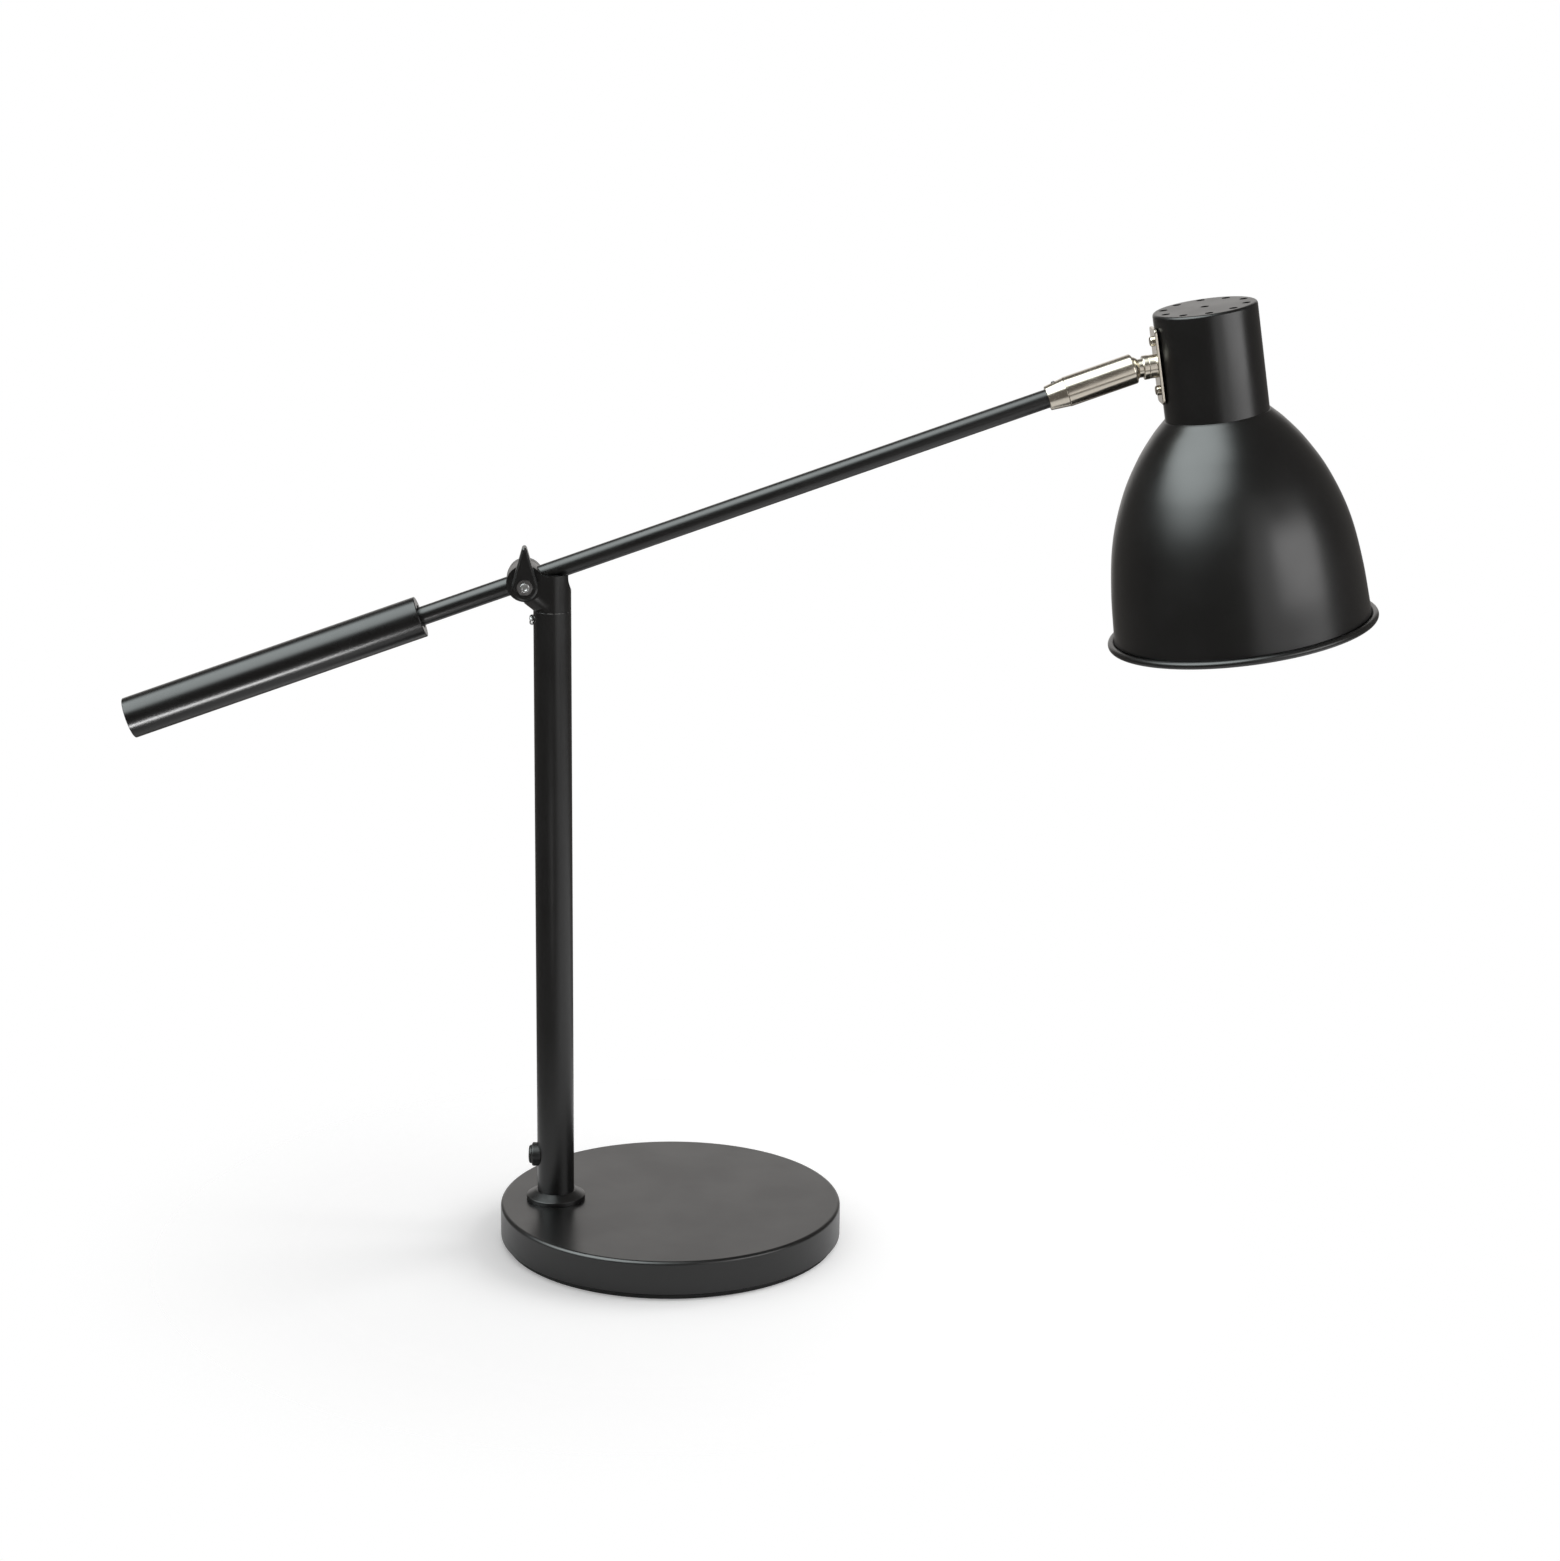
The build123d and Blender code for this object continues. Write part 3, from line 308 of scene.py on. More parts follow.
CERAMIC = Finish("glazed_ceramic", (0.86, 0.85, 0.80), (0.79, 0.78, 0.73), gloss=(0.15, 0.28), coat=0.4)
BLACK_RUBBER = Finish("black_rubber", (0.022, 0.022, 0.022), (0.013, 0.013, 0.013), gloss=(0.6, 0.8),
                      specular=0.3, grain=1800, relief=0.4)
BLACK_PLASTIC = Finish("moulded_plastic", (0.018, 0.018, 0.018), (0.011, 0.011, 0.011), gloss=(0.3, 0.42),
                       specular=0.45, grain=1500, relief=0.2)
FIBRE = Finish("fibre_washer", (0.20, 0.12, 0.07), (0.13, 0.08, 0.05), gloss=(0.6, 0.8), grain=1200,
               relief=0.4)
LEAD_SHEATH = Finish("lead_sheath", (0.03, 0.03, 0.03), (0.02, 0.02, 0.02), gloss=(0.45, 0.6), grain=900)
OPAL_GLASS = Finish("opal_glass", (0.90, 0.90, 0.88), (0.85, 0.85, 0.83), gloss=(0.25, 0.35), coat=0.5,
                    grain=500, relief=0.05)


# ---------------------------------------------------------------- bench
@dataclass(frozen=True)
class Corner:
    """A corner of a turned profile: distance from the axis, height, and the radius that rounds it."""

    radius: float
    height: float
    round: float = 0.0


def corners(*points: Sequence[float]) -> list[Corner]:
    """Corners from (radius, height) or (radius, height, round) tuples."""
    return [Corner(*point) for point in points]


def round_wire(mesh: bmesh.types.BMesh, rounds: Iterable[tuple[bmesh.types.BMVert, float]],
               segments: int) -> None:
    """Round the given corners of a wire.

    Args:
        mesh: the mesh that holds the wire.
        rounds: vertices with the radius that rounds each.
        segments: steps of each arc.
    """
    for vertex, radius in rounds:
        near = [edge.other_vert(vertex).co for edge in vertex.link_edges]
        angle = (near[0] - vertex.co).angle(near[1] - vertex.co)
        bmesh.ops.bevel(mesh, geom=[vertex], offset=radius / math.tan(angle / 2), offset_type="OFFSET",
                        segments=segments, profile=0.5, affect="VERTICES", material=-1, clamp_overlap=False)


def lathe(profile: Sequence[Corner], steps: int = 64, closed: bool = True, arc: int = 4) -> bmesh.types.BMesh:
    """Turn a profile about Z.

    Args:
        profile: corners of the profile, in order.
        steps: steps of the full turn.
        closed: join the last corner to the first.
        arc: steps of each rounded corner.

    Returns:
        The turned mesh, in millimetres.
    """
    mesh = bmesh.new()
    ring = [mesh.verts.new((corner.radius, 0, corner.height)) for corner in profile]
    pairs = list(zip(ring, ring[1:]))
    on_axis = profile[0].radius == 0 and profile[-1].radius == 0
    if closed and not on_axis:
        pairs.append((ring[-1], ring[0]))
    for pair in pairs:
        mesh.edges.new(pair)
    rounds = [(vertex, corner.round) for vertex, corner in zip(ring, profile) if corner.round]
    round_wire(mesh, rounds, arc)
    bmesh.ops.spin(mesh, geom=mesh.verts[:] + mesh.edges[:], cent=(0, 0, 0), axis=(0, 0, 1),
                   angle=math.tau, steps=steps, use_merge=True, use_duplicate=False)
    bmesh.ops.remove_doubles(mesh, verts=mesh.verts, dist=TINY)
    bmesh.ops.dissolve_degenerate(mesh, edges=mesh.edges, dist=TINY / 10)
    bmesh.ops.recalc_face_normals(mesh, faces=mesh.faces)
    return mesh


def soften(mesh: bmesh.types.BMesh, width: float, segments: int = 2, angle: float = 32.0,
           chosen: Callable[[bmesh.types.BMEdge], bool] | None = None) -> None:
    """Bevel the sharp edges of a mesh.

    Args:
        mesh: the mesh.
        width: width of the bevel, in millimetres.
        segments: steps of the bevel.
        angle: least angle between two faces, in degrees, that counts as sharp.
        chosen: test that an edge must also pass.
    """
    limit = math.radians(angle)
    sharp = [edge for edge in mesh.edges if len(edge.link_faces) == 2 and edge.calc_face_angle(0) > limit
             and (chosen is None or chosen(edge))]
    bmesh.ops.bevel(mesh, geom=sharp, offset=width, offset_type="OFFSET", segments=segments, profile=0.5,
                    affect="EDGES", material=-1, clamp_overlap=True)


def is_strip(face: bmesh.types.BMFace, width: float) -> bool:
    """Tell whether a face is a strip narrower than a width, as a small bevel leaves."""
    return 2 * face.calc_area() / max(face.calc_perimeter(), TINY) < width


def join_meshes(meshes: Sequence[bmesh.types.BMesh]) -> bmesh.types.BMesh:
    """Put several meshes into the first and give it back."""
    first = meshes[0]
    for other in meshes[1:]:
        spare = bpy.data.meshes.new("spare")
        other.to_mesh(spare)
        first.from_mesh(spare)
        bpy.data.meshes.remove(spare)
        other.free()
    return first


def placed(mesh: bmesh.types.BMesh, place: Matrix) -> bmesh.types.BMesh:
    """Move a mesh on the bench and give it back."""
    bmesh.ops.transform(mesh, matrix=place, verts=mesh.verts)
    return mesh


def prism(outline: Sequence[Sequence[float]], low: float, high: float) -> bmesh.types.BMesh:
    """Upright prism over an outline.

    Args:
        outline: (x, y) corners, in order.
        low: height of its underside.
        high: height of its top.

    Returns:
        The mesh.
    """
    mesh = bmesh.new()
    face = mesh.faces.new([mesh.verts.new((x, y, low)) for x, y in outline])
    made = bmesh.ops.extrude_face_region(mesh, geom=[face])
    tops = [item for item in made["geom"] if isinstance(item, bmesh.types.BMVert)]
    bmesh.ops.translate(mesh, verts=tops, vec=(0, 0, high - low))
    bmesh.ops.recalc_face_normals(mesh, faces=mesh.faces)
    return mesh


def disc_outline(radius: float, steps: int, start: float = 0.0) -> list[Point]:
    """Corners of a regular polygon, with its first corner at an angle in degrees."""
    mesh = bmesh.new()
    bmesh.ops.create_circle(mesh, segments=steps, radius=radius, matrix=turn(start, "Z"))
    outline = [(vertex.co.x, vertex.co.y) for vertex in mesh.verts]
    mesh.free()
    return outline


@dataclass
class Bench:
    """Turns finished meshes into pieces of the lamp."""

    made: list[bpy.types.Object] = field(default_factory=list)

    def piece(self, mesh: bmesh.types.BMesh, name: str, place: Matrix, body: str, finish: Finish,
              nodes: Sequence[str], slot: str, second: Finish | None = None,
              inner: Callable[[bmesh.types.BMFace], bool] | None = None, sharp: float = 38.0) -> None:
        """Place a mesh in the lamp and dress it.

        Args:
            mesh: the mesh on the bench, in millimetres.
            name: name of the piece.
            place: where the bench's frame goes.
            body: the body that it rides on.
            finish: its finish.
            nodes: the solids that it stands for.
            slot: the material slot that it belongs to; not used.
            second: a finish for some of its faces.
            inner: says which faces take the second finish.
            sharp: angle in degrees over which an edge stays sharp in shading.
        """
        bmesh.ops.recalc_face_normals(mesh, faces=mesh.faces)
        keep = mesh.verts.layers.float_vector.new(LOCAL)
        for vertex in mesh.verts:
            vertex[keep] = vertex.co
        for edge in mesh.edges:
            edge.smooth = len(edge.link_faces) == 2 and edge.calc_face_angle(0) < math.radians(sharp)
        for face in mesh.faces:
            face.smooth = True
            if inner is not None and inner(face):
                face.material_index = 1
        bmesh.ops.transform(mesh, matrix=Matrix.Scale(MILLIMETRE, 4) @ place, verts=mesh.verts)
        data = bpy.data.meshes.new(name)
        mesh.to_mesh(data)
        mesh.free()
        data.materials.append(finish.material(Space.BENCH))
        if second is not None:
            data.materials.append(second.material(Space.BENCH))
        made = bpy.data.objects.new(name, data)
        bpy.context.scene.collection.objects.link(made)
        even = made.modifiers.new("even_shading", "WEIGHTED_NORMAL")
        even.mode = "FACE_AREA"
        even.keep_sharp = True
        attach(made, body)
        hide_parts(*nodes)
        self.made.append(made)
        LOG.info("%s: %d faces, rides on %s", name, len(data.polygons), body)

    def dress(self, node: str, finish: Finish) -> None:
        """Give a solid of the frame its finish."""
        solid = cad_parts[node]
        solid.data.materials.clear()
        solid.data.materials.append(finish.material(Space.OBJECT))
        LOG.info("%s: %s", node, finish.name)


# ---------------------------------------------------------------- base
@dataclass
class Base:
    """Round base: a drawn cover over a cast weight, on a soft pad."""

    bench: Bench
    radius: float = 93.0
    height: float = 21.6
    lift: float = 3.4                    # lower edge of the cover above the table
    wall: float = 1.5
    top_round: float = 2.0
    inner_round: float = 1.0
    lip_round: float = 0.35
    cover_steps: int = 192
    pad_inset: float = 2.5
    pad_thickness: float = 2.4
    pad_foot_round: float = 0.6
    pad_top_round: float = 0.3
    plate_round: float = 0.15
    pad_steps: int = 160
    inlet_height: float = 11.5
    inlet_bore: float = 3.2
    inlet_spigot: float = 5.0
    inlet_depth: float = 5.5
    inlet_flange: float = 6.5
    inlet_seat: float = 0.1              # back of the flange outside the cover
    inlet_face: float = 1.6
    inlet_end_round: float = 0.4
    inlet_seat_round: float = 0.3
    inlet_rim_round: float = 0.7
    inlet_mouth_round: float = 0.9
    inlet_steps: int = 48

    def cover(self) -> None:
        """Drawn cover with a rounded top edge and a smooth lower lip."""
        inside = self.radius - self.wall
        ceiling = self.height - self.wall
        profile = corners((0, self.height), (self.radius, self.height, self.top_round),
                          (self.radius, self.lift, self.lip_round), (inside, self.lift, self.lip_round),
                          (inside, ceiling, self.inner_round), (0, ceiling))
        self.bench.piece(lathe(profile, self.cover_steps, arc=6), "base_cover_shell", Matrix(), "base",
                         SATIN_BLACK, ["base_cover"], "base_black")

    def foot(self) -> None:
        """Soft pad and closing plate, set back under the cover."""
        edge = self.radius - self.pad_inset
        pad = corners((0, 0), (edge, 0, self.pad_foot_round), (edge, self.pad_thickness, self.pad_top_round),
                      (0, self.pad_thickness))
        self.bench.piece(lathe(pad, self.pad_steps), "foot_pad_disc", Matrix(), "base", BLACK_RUBBER,
                         ["foot_pad"], "soft_pad")
        plate = corners((0, self.pad_thickness), (edge, self.pad_thickness, self.plate_round),
                        (edge, self.lift, self.plate_round), (0, self.lift))
        self.bench.piece(lathe(plate, self.pad_steps, arc=2), "closing_plate_disc", Matrix(), "base",
                         SATIN_BLACK, ["closing_plate"], "base_black")

    def inlet(self) -> None:
        """Flanged bush of the lead's inlet."""
        profile = corners((self.inlet_bore, -self.inlet_depth, self.inlet_end_round),
                          (self.inlet_spigot, -self.inlet_depth, self.inlet_end_round),
                          (self.inlet_spigot, self.inlet_seat),
                          (self.inlet_flange, self.inlet_seat, self.inlet_seat_round),
                          (self.inlet_flange, self.inlet_face, self.inlet_rim_round),
                          (self.inlet_bore, self.inlet_face, self.inlet_mouth_round))
        place = shift(0, self.radius, self.inlet_height) @ turn(-90, "X")
        self.bench.piece(lathe(profile, self.inlet_steps), "inlet_bush_ring", place, "base", BLACK_PLASTIC,
                         ["inlet_bush"], "black_plastic")

    def build(self) -> None:
        """Build the base and dress what it holds."""
        self.cover()
        self.foot()
        self.inlet()
        for node, finish in (("base_weight", CAST_IRON), ("plate_screws", ZINC), ("foot_plug", ZINC),
                             ("foot_nipple", ZINC), ("foot_washer", ZINC), ("foot_nut", ZINC),
                             ("terminal_block", CERAMIC)):
            self.bench.dress(node, finish)


# ---------------------------------------------------------------- screws
@dataclass(frozen=True)
class SlottedScrew:
    """Screw with a slotted pan head, its seat at z = 0, in millimetres."""

    head: float                          # radius
    height: float
    shank: float                         # radius
    length: float
    slot: float
    deep: float
    dome: float = 0.62                   # share of the head's height that is rounded
    seat_round: float = 0.15
    end_round: float = 0.2
    steps: int = 48

    def blank(self) -> bmesh.types.BMesh:
        """Turned screw without its slot."""
        profile = corners((0, -self.length), (self.shank, -self.length, self.end_round), (self.shank, 0),
                          (self.head, 0, self.seat_round), (self.head, self.height, self.height * self.dome),
                          (0, self.height))
        return lathe(profile, self.steps, arc=6)

    def mesh(self) -> bmesh.types.BMesh:
        """Cut the slot into the turned screw.

        Returns:
            The finished mesh.
        """
        mesh = self.blank()
        floor = self.height - self.deep
        planes = [((side * self.slot / 2, 0, 0), (1, 0, 0)) for side in (-1, 1)]
        planes.append(((0, 0, floor), (0, 0, 1)))
        for spot, normal in planes:
            geometry = mesh.verts[:] + mesh.edges[:] + mesh.faces[:]
            bmesh.ops.bisect_plane(mesh, geom=geometry, plane_co=spot, plane_no=normal, dist=TINY / 10)
        strip = [face for face in mesh.faces if abs(face.calc_center_median().x) < self.slot / 2
                 and face.calc_center_median().z > floor - TINY]
        bmesh.ops.delete(mesh, geom=strip, context="FACES")
        rim = [edge for edge in mesh.edges if edge.is_boundary]
        walls = bmesh.ops.extrude_edge_only(mesh, edges=rim)
        for item in walls["geom"]:
            if isinstance(item, bmesh.types.BMVert):
                item.co.z = floor
        bmesh.ops.remove_doubles(mesh, verts=mesh.verts, dist=TINY)
        bmesh.ops.dissolve_degenerate(mesh, edges=mesh.edges, dist=TINY)
        open_edges = [edge for edge in mesh.edges if edge.is_boundary]
        bmesh.ops.holes_fill(mesh, edges=open_edges, sides=0)
        bmesh.ops.recalc_face_normals(mesh, faces=mesh.faces)
        return mesh


# ---------------------------------------------------------------- post
@dataclass
class Post:
    """Straight post with its collar, push switch and the screw that holds the head."""

    places: Places
    bench: Bench
    radius: float = 10.0
    bore: float = 8.5
    foot: float = 21.6
    top: float = 350.0
    top_break: float = 0.45              # broken edge at the seam
    bore_break: float = 0.2
    steps: int = 96
    collar_gap: float = 0.05
    collar_radius: float = 16.0
    collar_ring: float = 2.4             # height of the collar's upright ring
    collar_height: float = 5.2
    collar_neck: float = 10.8            # radius at the top of the collar's cone
    collar_foot_round: float = 0.2
    collar_ring_round: float = 0.35
    collar_neck_round: float = 0.3
    bezel_bore: float = 5.15
    bezel_radius: float = 6.5
    bezel_back: float = 8.0              # distances from the post's axis
    bezel_face: float = 12.9
    bezel_round: float = 0.9
    bezel_mouth_round: float = 0.3
    button_radius: float = 5.1
    button_face: float = 14.6
    button_round: float = 1.3
    button_lip: float = 5.45
    button_lip_back: float = 7.4
    button_lip_front: float = 8.2
    button_lip_round: float = 0.1
    switch_steps: int = 64
    seam_drop: float = 5.3               # head screw below the seam
    screw_seat: float = 0.1
    screw_shape: SlottedScrew = SlottedScrew(head=2.8, height=1.9, shank=1.5, length=2.8, slot=0.8, deep=0.6)

    def tube(self) -> None:
        """Tube with a finely broken edge at the seam, lighter there: coat rubbed through, and a painted
        highlight line.
        """
        profile = corners((self.bore, self.foot), (self.radius, self.foot),
                          (self.radius, self.top, self.top_break), (self.bore, self.top, self.bore_break))
        self.bench.piece(lathe(profile, self.steps, arc=3), "post_tube_coated", self.places.post, "base",
                         SATIN_BLACK, ["post_tube"], "post_black", second=WORN_EDGE_AND_GLINT,
                         inner=lambda face: face.calc_center_median().z > self.top - self.top_break)

    def collar(self) -> None:
        """Bevelled ring round the foot of the post."""
        bore = self.radius + self.collar_gap
        profile = corners((bore, self.foot), (self.collar_radius, self.foot, self.collar_foot_round),
                          (self.collar_radius, self.foot + self.collar_ring, self.collar_ring_round),
                          (self.collar_neck, self.foot + self.collar_height, self.collar_neck_round),
                          (bore, self.foot + self.collar_height))
        self.bench.piece(lathe(profile, self.steps, arc=3), "post_collar_ring", self.places.post, "base",
                         SATIN_BLACK, ["post_collar"], "post_black")

    def switch(self) -> None:
        """Round bezel saddled on the post, with its button."""
        place = self.places.post @ shift(0, 0, self.places.switch_height) @ turn(-90, "Y")
        bezel = corners((self.bezel_bore, self.bezel_back), (self.bezel_radius, self.bezel_back),
                        (self.bezel_radius, self.bezel_face, self.bezel_round),
                        (self.bezel_bore, self.bezel_face, self.bezel_mouth_round))
        self.bench.piece(lathe(bezel, self.switch_steps), "switch_bezel_ring", place, "base", BLACK_PLASTIC,
                         ["switch_bezel"], "black_plastic")
        button = corners((0, self.button_lip_back),
                         (self.button_lip, self.button_lip_back, self.button_lip_round),
                         (self.button_lip, self.button_lip_front, self.button_lip_round),
                         (self.button_radius, self.button_lip_front),
                         (self.button_radius, self.button_face, self.button_round), (0, self.button_face))
        self.bench.piece(lathe(button, self.switch_steps, arc=5), "switch_button_cap", place, "switch_button",
                         BLACK_PLASTIC, ["switch_button"], "black_plastic")

    def screw(self) -> None:
        """Slotted screw just below the seam."""
        place = (self.places.post @ shift(-self.radius, 0, self.top - self.seam_drop) @ turn(-90, "Y")
                 @ shift(0, 0, self.screw_seat))
        self.bench.piece(self.screw_shape.mesh(), "head_screw_slotted", place, "base", ZINC, ["head_screw"],
                         "post_black")

    def build(self) -> None:
        """Build the post and dress what it holds."""
        self.tube()
        self.collar()
        self.switch()
        self.screw()
        self.bench.dress("switch_body", BLACK_PLASTIC)
        self.bench.dress("post_lead", LEAD_SHEATH)


# ---------------------------------------------------------------- head and clamp
@dataclass
class Head:
    """Forked head on the post with the hinge bolt, the clamp lever and its nut.

    Heights on the hinge are measured from the head's middle towards the front.
    """

    places: Places
    bench: Bench
    cheek: float = 10.0
    seam: float = 350.0                  # above the table, as the flat top is
    flat_top: float = 369.6
    post_radius: float = 10.0
    edge: float = 0.35                   # width of the broken edges
    edge_steps: int = 2
    edge_angle: float = 30.0
    head_sharp: float = 24.0
    worn_glint_slack: float = 0.1              # how much wider a broken edge may come out
    worn_glint_lean: Point = (0.1, 0.97)       # least and greatest upright share of its normal
    least_edge: float = 0.05             # shorter edges of the solid are merged
    flat_angle: float = 0.4              # faces that turn less than this are one
    rub_glint_slack: float = 0.06
    rub_glint_depth: float = 1.5               # reach of the zone below the flat top that takes the rubbed coat and painted glints
    rub_glint_out: float = 5.0                 # least distance of that zone from the head's middle
    rub_glint_ahead: float = 2.0               # and from the hinge towards the post
    bolt_radius: float = 2.5
    bolt_short: float = 0.3              # bolt's end below the lever's face
    bolt_round: float = 0.45
    dimple: Point = (1.45, 1.2)          # radii of the hollow in the bolt's end
    dimple_depth: float = 0.25
    dimple_round: float = 0.1
    bolt_head: float = 4.75
    bolt_head_height: float = 2.2
    bolt_head_round: float = 1.2
    cap_radius: float = 9.4
    cap_height: float = 6.2
    cap_round: float = 0.8
    cap_rim_round: float = 0.15
    cap_pocket: float = 4.85
    cap_pocket_depth: float = 2.7
    spacer: float = 4.6
    spacer_bore: float = 2.6
    spacer_radius: float = 5.25
    spacer_height: float = 3.4
    spacer_foot_round: float = 0.2
    spacer_round: float = 0.35
    washer_radius: float = 4.5
    washer_top: float = 4.55
    washer_round: float = 0.15
    turned_steps: int = 48
    spacer_steps: int = 56
    cap_steps: int = 72
    lever_thickness: float = 8.4
    lever_radius: float = 6.8
    lever_steps: int = 72
    tip_radius: float = 1.3
    tip_at: float = 19.9
    tip_steps: int = 24
    lever_heart: float = 6.0             # height inside the outline that its corners are sorted round
    lever_bevel: float = 0.9
    lever_sharp: float = 30.0
    lever_line_width: float = 0.14
    lever_line_angle: float = 26.0
    lever_line_slack: float = 0.02       # strips narrower than the line by this take the lighter grey, a painted highlight
    lever_line_lean: Point = (0.2, 0.97)
    lever_line_clear: float = 1.5        # the rubbed line ends this far below the tip's centre
    recess_gap: float = 0.15
    nut_flats: float = 8.0
    nut_height: float = 4.0
    nut_sunk: float = 0.6
    nut_chamfer: Point = (0.95, 0.87)    # drop at the outside, and inner share of the corner radius
    nut_outside: float = 1.3             # chamfering tool, as a share of the corner radius
    nut_over: float = 0.05               # how far the tool stands over the nut, and under it
    nut_under: float = 1.0
    nut_sharp: float = 20.0
    hexagon_turn: float = 30.0           # of nut and recess about the hinge's axis
    thread_radius: float = 2.52
    thread_mouth: Point = (2.95, 3.15)   # radii of the countersink and of the ring round it
    thread_depth: Point = (0.45, 1.2)    # depths of the countersink and of the ring
    thread_proud: float = 0.01
    thread_steps: int = 40

    @property
    def front(self) -> Matrix:
        """Frame on the hinge's axis, its Z towards the front."""
        return self.places.pivot @ ALONG_Y

    @property
    def lever_face(self) -> float:
        """Distance from the head's middle to the lever's face."""
        return self.cheek + self.spacer + self.lever_thickness

    @property
    def nut_corner(self) -> float:
        """Radius of the nut over its corners."""
        return self.nut_flats / 2 / math.cos(math.pi / 6)

    def rubbed_glint_spot(self, spot: Vector, slack: float) -> bool:
        """Tell whether a spot is on the edge at the seam or on the cheeks' edges by the flat top."""
        out = math.hypot(spot.x + self.places.post_offset, spot.y)
        at_seam = abs(spot.z - self.seam) < slack and out > self.post_radius - self.edge - slack
        at_top = spot.z > self.flat_top - self.rub_glint_depth and abs(spot.y) > self.rub_glint_out
        return at_seam or (at_top and spot.x > self.places.pivot_x + self.rub_glint_ahead)

    def worn_glint_face(self, face: bmesh.types.BMFace) -> bool:
        """Tell whether a face belongs to the head's broken edges, which take the rubbed coat and painted
        glints.
        """
        least, greatest = self.worn_glint_lean
        return (is_strip(face, self.edge + self.worn_glint_slack) and least < abs(face.normal.z) < greatest
                and self.rubbed_glint_spot(face.calc_center_median(), self.edge))

    def fork(self) -> None:
        """Head with softly broken edges, from the solid model's own shape."""
        mesh = bmesh.new()
        mesh.from_mesh(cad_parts["pivot_head"].data)
        bmesh.ops.transform(mesh, matrix=Matrix.Scale(1 / MILLIMETRE, 4), verts=mesh.verts)
        bmesh.ops.remove_doubles(mesh, verts=mesh.verts, dist=self.least_edge)
        bmesh.ops.dissolve_limit(mesh, angle_limit=math.radians(self.flat_angle), verts=mesh.verts,
                                 edges=mesh.edges)
        soften(mesh, self.edge, self.edge_steps, self.edge_angle,
               lambda edge: all(self.rubbed_glint_spot(end.co, self.rub_glint_slack) for end in edge.verts))
        # The broken edges take the lighter grey: rubbed coat, and painted glints where the edges catch the
        # light.
        self.bench.piece(mesh, "pivot_head_fork", Matrix(), "head", SATIN_BLACK, ["pivot_head"],
                         "head_black", second=WORN_EDGE_AND_GLINT, inner=self.worn_glint_face, sharp=self.head_sharp)

    def bolt(self) -> None:
        """Hinge bolt with a turned end, and the cap over its head."""
        end = self.lever_face - self.bolt_short
        back = -self.cheek - self.bolt_head_height
        brim, hollow = self.dimple
        floor = end - self.dimple_depth
        profile = corners((0, back), (self.bolt_head, back, self.bolt_head_round),
                          (self.bolt_head, -self.cheek), (self.bolt_radius, -self.cheek),
                          (self.bolt_radius, end, self.bolt_round), (brim, end),
                          (hollow, floor, self.dimple_round), (0, floor))
        self.bench.piece(lathe(profile, self.turned_steps), "pivot_bolt_turned", self.front, "head", ZINC,
                         ["pivot_bolt"], "zinc")
        top = -self.cheek - self.cap_height
        pocket = -self.cheek - self.cap_pocket_depth
        cap = corners((0, top), (self.cap_radius, top, self.cap_round),
                      (self.cap_radius, -self.cheek, self.cap_rim_round), (self.cap_pocket, -self.cheek),
                      (self.cap_pocket, pocket), (0, pocket))
        self.bench.piece(lathe(cap, self.cap_steps), "bolt_cap_round", self.front, "head", BLACK_PLASTIC,
                         ["bolt_cap"], "black_plastic")

    def spacers(self) -> None:
        """Stepped spacer and spring washer behind the lever."""
        top = self.cheek + self.spacer_height
        ring = corners((self.spacer_bore, self.cheek),
                       (self.spacer_radius, self.cheek, self.spacer_foot_round),
                       (self.spacer_radius, top, self.spacer_round), (self.spacer_bore, top))
        self.bench.piece(lathe(ring, self.spacer_steps), "clamp_spacer_ring", self.front, "head",
                         SATIN_BLACK, ["clamp_spacer"], "head_black")
        end = self.cheek + self.washer_top
        washer = corners((self.spacer_bore, top), (self.washer_radius, top, self.washer_round),
                         (self.washer_radius, end, self.washer_round), (self.spacer_bore, end))
        self.bench.piece(lathe(washer, self.spacer_steps, arc=2), "clamp_spring_washer_ring", self.front,
                         "head", SPRING_STEEL, ["clamp_spring_washer"], "zinc")

    def teardrop(self) -> list[Point]:
        """Corners of the lever's outline: a large and a small circle with their tangents."""
        mesh = bmesh.new()
        low = self.cheek + self.spacer
        bmesh.ops.create_circle(mesh, segments=self.lever_steps, radius=self.lever_radius,
                                matrix=shift(0, 0, low))
        bmesh.ops.create_circle(mesh, segments=self.tip_steps, radius=self.tip_radius,
                                matrix=shift(0, self.tip_at, low))
        hull = bmesh.ops.convex_hull(mesh, input=mesh.verts, use_existing_faces=False)
        spare = [item for item in hull["geom_interior"] if isinstance(item, bmesh.types.BMVert)]
        bmesh.ops.delete(mesh, geom=spare, context="VERTS")
        outline = [(vertex.co.x, vertex.co.y) for vertex in mesh.verts]
        mesh.free()
        return sorted(outline, key=lambda point: math.atan2(point[0], point[1] - self.lever_heart))

